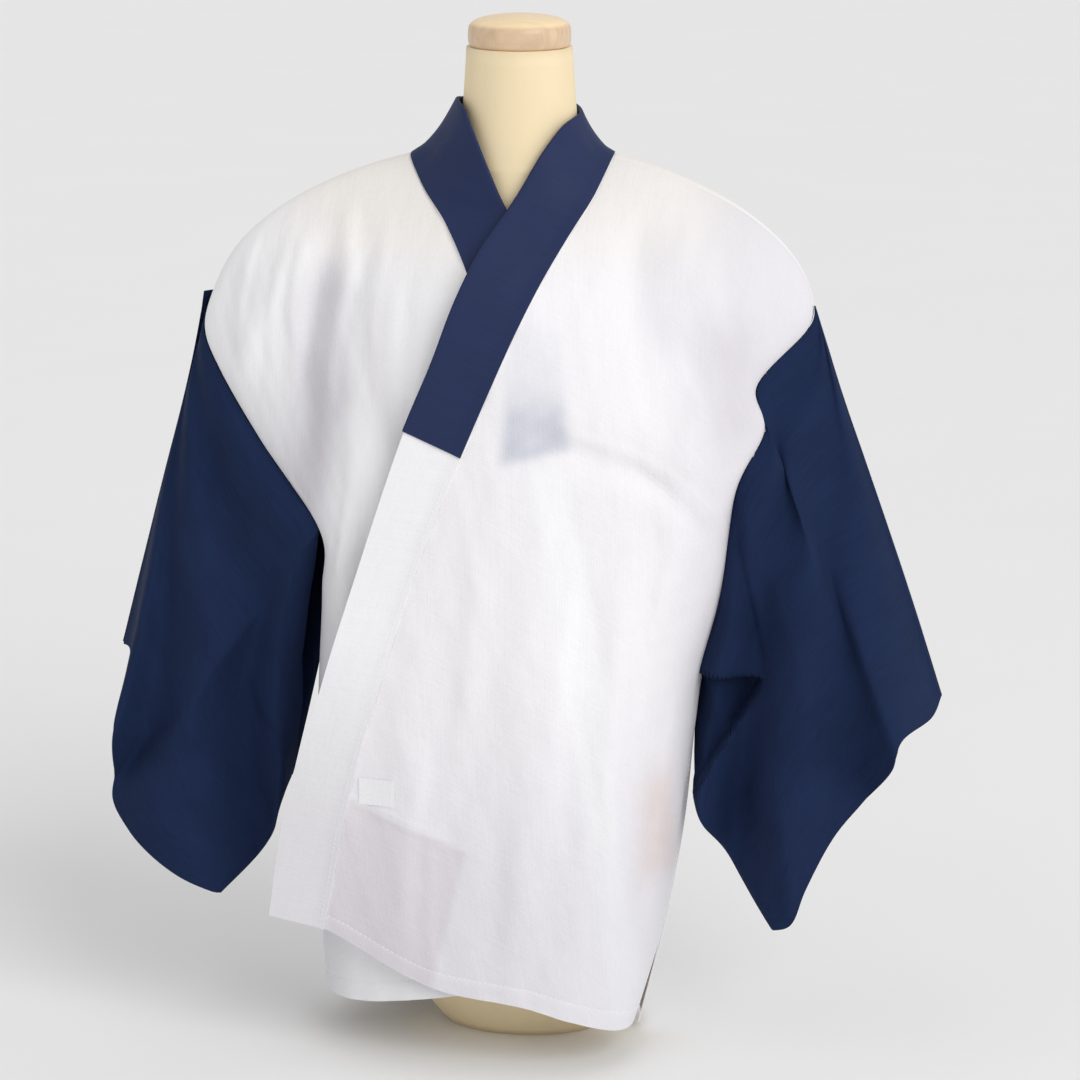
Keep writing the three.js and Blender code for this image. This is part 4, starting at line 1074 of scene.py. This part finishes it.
class HANJUBAN_OT_collar(bpy.types.Operator):
    """Sets the white collar band round the neck line and folds the navy half collar over it"""
    bl_idname = "hanjuban.collar"
    bl_label = "Collar band and half collar"

    def execute(self, context):
        sizes = context.scene.hanjuban_sizes
        colours = context.scene.hanjuban_colours
        share = np.linspace(0, 1, BAND_COLUMNS + 1)
        grid = band_surface(share)
        run = np.arange(len(grid))[:, None] * 5.0
        lie = 0.7 * ripple(run, share[None, :] * 55, 90, 3.3) * smooth(share * 5) * smooth((1 - share) * 5)
        out = out_of_band(grid)
        grid = grid + out * (lie * smooth((grid[..., 2] - 110) / 60))[..., None]
        # Painted shade: the band is tinted greyer towards its low ends, as the body is.
        band = cloth("collar_band_cloth", grid, sizes.band_wall, woven_white_cotton(colours),
                     tint=tinted((smooth((430 - grid[..., 2]) / 260), "#ecebed")))
        face = grid + out * (sizes.band_wall / MM / 2)
        bare = grid[:, 1, 2] < HALF_COLLAR_END["outer"] - 30
        outer = bare & (np.arange(len(grid)) < len(grid) // 2)
        stitches = sew("band_stitches", [(face[outer][:, 1], out[outer][:, 1])], sizes, spun_thread(colours))
        trim(stitches)
        declare_cloth(band, "collar_band", "white_cotton", flat=(0.055, 1.95), held="draped",
                      rests_on=["body_left_cloth", "body_right_cloth"], with_pieces=[stitches])
        folded_collar = cloth("half_collar_cloth", half_collar(sizes), sizes.half_collar_wall,
                              calendered_collar_cloth(colours))
        declare_cloth(folded_collar, "half_collar", "navy_cotton", flat=(0.11, 0.92), held="folded",
                      rests_on=["collar_band_cloth"])
        return {"FINISHED"}


# ---------- sleeves ----------
SLEEVE_COLUMNS = 84
SWING_STEPS = 46
ARMHOLE_STEPS = 44
LIP_ROWS = [0, 0.02, 0.04, 0.06, 0.075, 0.09, 0.105, 0.12, 0.15, 0.19, 0.25]  # close together round the lip
HOLLOW_DEPTH = 26  # how far the front leaf is tucked in under its flap, and how soft the tuck's edges are
HOLLOW_EDGE = 6
SHOULDER_STEP = 1.7  # how far the back leaf stands out past the front one at the shoulder, in lips
LIP = 10  # width of the fold's lip, where the front leaf steps back to the back leaf, and how soft it is
LIP_SOFT = 2.4
EDGE_FADES = {"turn": 2.4, "pull": 3.4, "recess": 1.3}  # powers by which they fade out towards the cuff


def sleeve_grid(name, strength):
    """A tube of two leaves, rows down from the fold and columns out to the cuff, with its flat map."""
    shape = SLEEVES[name]
    sign = shape["sign"]
    surface = outer_front if sign > 0 else under_front
    row = np.concatenate([LIP_ROWS, np.linspace(0.32, LAST_ARMHOLE_ROW, ARMHOLE_STEPS)])
    drop = np.concatenate([ARMHOLE_SHARE * row / LAST_ARMHOLE_ROW,
                           np.linspace(ARMHOLE_SHARE, 1, SWING_STEPS + 1)[1:]])
    side = np.full(len(row), float(sign))
    fore_edge, rear_edge = surface(row, side), back(row, side)
    below = np.clip((drop - ARMHOLE_SHARE) / (1 - ARMHOLE_SHARE), 0, 1)
    hang = curve(shape["swing"], below)
    sewn = drop <= ARMHOLE_SHARE
    armhole = drop[:len(row)]
    seam = np.stack([np.interp(drop, armhole, (fore_edge + rear_edge)[:, i] / 2) for i in range(3)], -1)
    body = np.where(sewn[:, None], seam, hang)
    half_gap = (rear_edge - fore_edge)[:, 1] / 2
    body_room = np.where(sewn, np.interp(drop, armhole, half_gap),
                         lerp(LEAF_ROOM, half_gap[-1], (1 - below) ** 1.4))
    across = np.linspace(0, 1, SLEEVE_COLUMNS + 1)
    u = across[:, None]
    v = drop[None, :]
    fold, bottom = curve(shape["fold"], across), curve(shape["bottom"], across)
    cuff = curve(shape["cuff"], drop)
    U, V = u[..., None], v[..., None]
    middle = ((1 - U) * body[None] + U * cuff[None] + (1 - V) * fold[:, None] + V * bottom[:, None]
              - (1 - U) * (1 - V) * fold[0] - U * (1 - V) * fold[-1] - U * V * bottom[-1]
              - (1 - U) * V * bottom[0])
    wide, deep = u * SLEEVE_WIDTH, v * SLEEVE_DROP
    fan = np.arctan2(deep, wide) / QUARTER
    reach = np.hypot(wide, deep) / math.hypot(SLEEVE_WIDTH, SLEEVE_DROP)
    middle[..., 1] += FLUTE * reach ** 1.2 * np.sin(2 * math.pi * FLUTES * fan)
    parted = ARMHOLE_PART * (1 - u)
    top = smooth(1 - v / TOP_SHARE)
    middle[..., 0] += sign * parted * (1 + 0.5 * top)
    middle[..., 2] -= parted * 0.5 * top
    gape = CUFF_GAPE * np.sin(math.pi * np.minimum(1, v / CUFF_SHARE))
    edge = np.minimum(1, np.sqrt(np.maximum(0, np.minimum(v, 1 - v)) / 0.02))
    room = lerp(body_room[None, :], LEAF_ROOM * edge + np.maximum(0, gape), u)
    turned, pulled, recess = [(1 - u) ** fade * np.interp(below, *np.array(shape[key], float).T)[None, :]
                              for key, fade in EDGE_FADES.items()]
    lip = shape["lip"] * (1 - smooth((deep - LIP) / LIP_SOFT)) * (1 + np.maximum(0, 1 - deep / LIP))
    leaves = []
    for facing in (-1, 1):
        leaf = middle.copy()
        if facing < 0:
            leaf[..., 0] += sign * turned
            leaf[..., 1] += lip - pulled
            if shape["hollow"]:
                mask = slanted(leaf[..., 0], leaf[..., 2], *shape["hollow"], HOLLOW_EDGE)
                leaf[..., 1] += HOLLOW_DEPTH * mask
        else:
            leaf[..., 0] += sign * SHOULDER_STEP * shape["lip"] * (1 - u) ** 5 * smooth(1 - v / 0.13)
            leaf[..., 1] += recess
        seed = 1.3 * sign + 2.1 * facing
        creases = shape["front" if facing < 0 else "back"]
        dent = folds_at(creases, leaf[..., 0], leaf[..., 2]) * smooth(u * 9) * smooth((1 - u) * 12)
        inside = smooth(u * 6) * edge
        billow = 2.4 * (1 + ripple(wide + 0.5 * deep, deep * 0.2, 120, seed)) * reach
        crease = 1.1 * (1 + ripple(wide * 1.4 + 0.45 * deep, deep * 0.25, 46, seed + 1))
        leaf[..., 1] += facing * (room + strength * (inside * (billow + crease) + edge * dent))
        leaves.append(leaf)
    fore, rear = leaves
    ends = (fore + rear) / 2
    grid = np.concatenate([ends[:, :1], fore[:, 1:-1], ends[:, -1:], rear[:, -2:0:-1]], axis=1)
    flat = stack(wide, deep)
    return grid, np.concatenate([flat, flat[:, -2:0:-1]], axis=1)


class HANJUBAN_OT_sleeves(bpy.types.Operator):
    """Hangs the two empty navy sleeves from the armholes"""
    bl_idname = "hanjuban.sleeves"
    bl_label = "Sleeves"

    def execute(self, context):
        sizes = context.scene.hanjuban_sizes
        colours = context.scene.hanjuban_colours
        cotton = woven_navy_cotton(colours)
        for name in SLEEVES:
            grid, flat = sleeve_grid(name, sizes.creases)
            piece = cloth(name + "_cloth", grid, sizes.wall, cotton, closed=True, flat=flat)
            declare_cloth(piece, name, "navy_cotton", flat=(0.34, 0.98), area=0.24, held="hung",
                          rests_on=[name.replace("sleeve", "body") + "_cloth"])
        return {"FINISHED"}


# ---------- tab ----------
class HANJUBAN_OT_tab(bpy.types.Operator):
    """Sews the small blank tab beside the band"""
    bl_idname = "hanjuban.tab"
    bl_label = "Blank tab"

    def execute(self, context):
        sizes = context.scene.hanjuban_sizes
        colours = context.scene.hanjuban_colours
        x, z = np.meshgrid(np.linspace(TAB["left"], TAB["right"], 17),
                           np.linspace(TAB["high"], TAB["low"], 13))
        row, across = place_at(outer_front, x, z)
        out = out_of(outer_front, row, across, -1)
        face = outer_front(row, across) + out * (sizes.wall / MM / 2)
        grid = face + out * (TAB["play"] + TAB["half_wall"])
        piece = cloth("blank_tab_cloth", grid, 2 * TAB["half_wall"] * MM, woven_white_cotton(colours),
                      tint=np.full(grid.shape, TAB["grey"]))
        grid, out = grid[1:-1, 1:-1], out[1:-1, 1:-1]
        grid = grid + out * TAB["half_wall"]
        runs = [(grid[side], out[side]) for side in (0, -1, np.s_[:, 0], np.s_[:, -1])]
        stitches = sew("tab_stitches", runs, sizes, spun_thread(colours))
        trim(stitches)
        declare_cloth(piece, "blank_tab", "white_cotton", flat=(0.032, 0.024), held="laid",
                      rests_on=["body_left_cloth"], with_pieces=[stitches])
        return {"FINISHED"}


# ---------- dress form ----------
def rounded_copy(node, name, material):
    """A node's faceted solid copied, merged, turned back into quads and rounded, with its flat ends kept."""
    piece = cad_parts[node].copy()
    piece.data = piece.data.copy()
    piece.name = name
    piece.parent = None
    for key in list(piece.keys()):
        del piece[key]
    bpy.context.collection.objects.link(piece)
    edit_all(piece, bpy.ops.mesh.remove_doubles, threshold=0.00002)
    edit_all(piece, bpy.ops.mesh.tris_convert_to_quads, face_threshold=math.radians(60),
             shape_threshold=math.radians(60))
    heights = np.array([vertex.co.z for vertex in piece.data.vertices])
    ends = np.isclose(heights, heights.min(), atol=1e-5)
    if node == "dress_form":
        ends |= np.isclose(heights, heights.max(), atol=1e-5)
    sharp = [float(all(ends[list(edge.vertices)])) for edge in piece.data.edges]
    piece.data.attributes.new("crease_edge", "FLOAT", "EDGE").data.foreach_set("value", sharp)
    rounded = piece.modifiers.new("rounded", "SUBSURF")
    rounded.levels = rounded.render_levels = 1
    bpy.ops.object.modifier_apply(modifier="rounded")
    piece.data.materials.clear()
    piece.data.materials.append(material)
    finish_mesh(piece, 60)
    trim(piece)
    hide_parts(node)


class HANJUBAN_OT_dress_form(bpy.types.Operator):
    """Rounds the covered torso and turns the wooden cap"""
    bl_idname = "hanjuban.dress_form"
    bl_label = "Dress form"

    def execute(self, context):
        colours = context.scene.hanjuban_colours
        rounded_copy("dress_form", "form_torso", stretched_cover(colours))
        rounded_copy("neck_cap", "neck_cap_wood", lacquered_wood(colours))
        return {"FINISHED"}


# ---------- stage ----------
FLOOR_SIZE = 60.0
SKY_STRENGTH = 0.66
CAMERA = {"place": (0.5632, -3.5557, 1.2954), "forward": (-0.1474, 0.9625, -0.2277), "lens": 139.5}
LIGHTS = [  # name, kind, place, size or angle, power, aimed at
    ("key_light", "SUN", (3.0, -3.0, 3.2), 0.7, 1.25, (0.0, 0.0, 0.5)),
    ("chest_light", "AREA", (1.1, -2.3, 2.0), 1.2, 2.5, (0.0, 0.0, 0.7)),
    ("side_light", "AREA", (2.9, -0.4, 1.2), 1.4, 4.0, (0.0, 0.0, 0.45)),
]


def aim(thing, direction):
    thing.rotation_euler = Vector(direction).to_track_quat("-Z", "Y").to_euler()


class HANJUBAN_OT_stage(bpy.types.Operator):
    """Lays the pale floor and sets the soft lights and the camera"""
    bl_idname = "hanjuban.stage"
    bl_label = "Stage"

    def execute(self, context):
        scene = context.scene
        clear_selection()
        bpy.ops.mesh.primitive_plane_add(size=FLOOR_SIZE, location=(0.0, 0.0, 0.0))
        floor = context.active_object
        floor.name = "floor"
        floor.data.materials.append(painted_floor(scene.hanjuban_colours))
        for name, kind, place, size, power, target in LIGHTS:
            lamp = bpy.data.lights.new(name, kind)
            setattr(lamp, "angle" if kind == "SUN" else "size", size)
            lamp.energy = power
            thing = bpy.data.objects.new(name, lamp)
            scene.collection.objects.link(thing)
            thing.location = place
            aim(thing, Vector(target) - Vector(place))
        world = bpy.data.worlds.new("studio")
        world.use_nodes = True
        sky = world.node_tree.nodes["Background"]
        sky.inputs["Color"].default_value = (1.0, 1.0, 1.0, 1.0)
        sky.inputs["Strength"].default_value = SKY_STRENGTH
        scene.world = world
        scene.view_settings.view_transform = "Standard"
        lens = bpy.data.cameras.new("camera")
        lens.lens = CAMERA["lens"]
        lens.clip_end = 100.0
        camera = bpy.data.objects.new("camera", lens)
        scene.collection.objects.link(camera)
        camera.location = CAMERA["place"]
        aim(camera, CAMERA["forward"])
        scene.camera = camera
        clear_selection()
        return {"FINISHED"}


# ---------- panel ----------
OPERATORS = (HANJUBAN_OT_stage, HANJUBAN_OT_dress_form, HANJUBAN_OT_body_lengths, HANJUBAN_OT_collar,
             HANJUBAN_OT_sleeves, HANJUBAN_OT_tab)


class HANJUBAN_PT_panel(bpy.types.Panel):
    """Lists the sizes, the colours and the steps"""
    bl_label = "Hanjuban"
    bl_space_type = "VIEW_3D"
    bl_region_type = "UI"
    bl_category = "Hanjuban"

    def draw(self, context):
        for group in (context.scene.hanjuban_sizes, context.scene.hanjuban_colours):
            box = self.layout.box()
            for name in group.bl_rna.properties.keys():
                if name not in ("rna_type", "name"):
                    box.prop(group, name)
        for operator in OPERATORS:
            self.layout.operator(operator.bl_idname)


CLASSES = (HanjubanSizes, HanjubanColours, *OPERATORS, HANJUBAN_PT_panel)


def register():
    for kind in CLASSES:
        bpy.utils.register_class(kind)
    bpy.types.Scene.hanjuban_sizes = bpy.props.PointerProperty(type=HanjubanSizes)
    bpy.types.Scene.hanjuban_colours = bpy.props.PointerProperty(type=HanjubanColours)


def unregister():
    del bpy.types.Scene.hanjuban_colours
    del bpy.types.Scene.hanjuban_sizes
    for kind in reversed(CLASSES):
        bpy.utils.unregister_class(kind)


def main():
    register()
    clear_selection()
    bpy.ops.hanjuban.stage()
    bpy.ops.hanjuban.dress_form()
    bpy.ops.hanjuban.body_lengths()
    bpy.ops.hanjuban.collar()
    bpy.ops.hanjuban.sleeves()
    bpy.ops.hanjuban.tab()


if __name__ == "__main__":
    main()
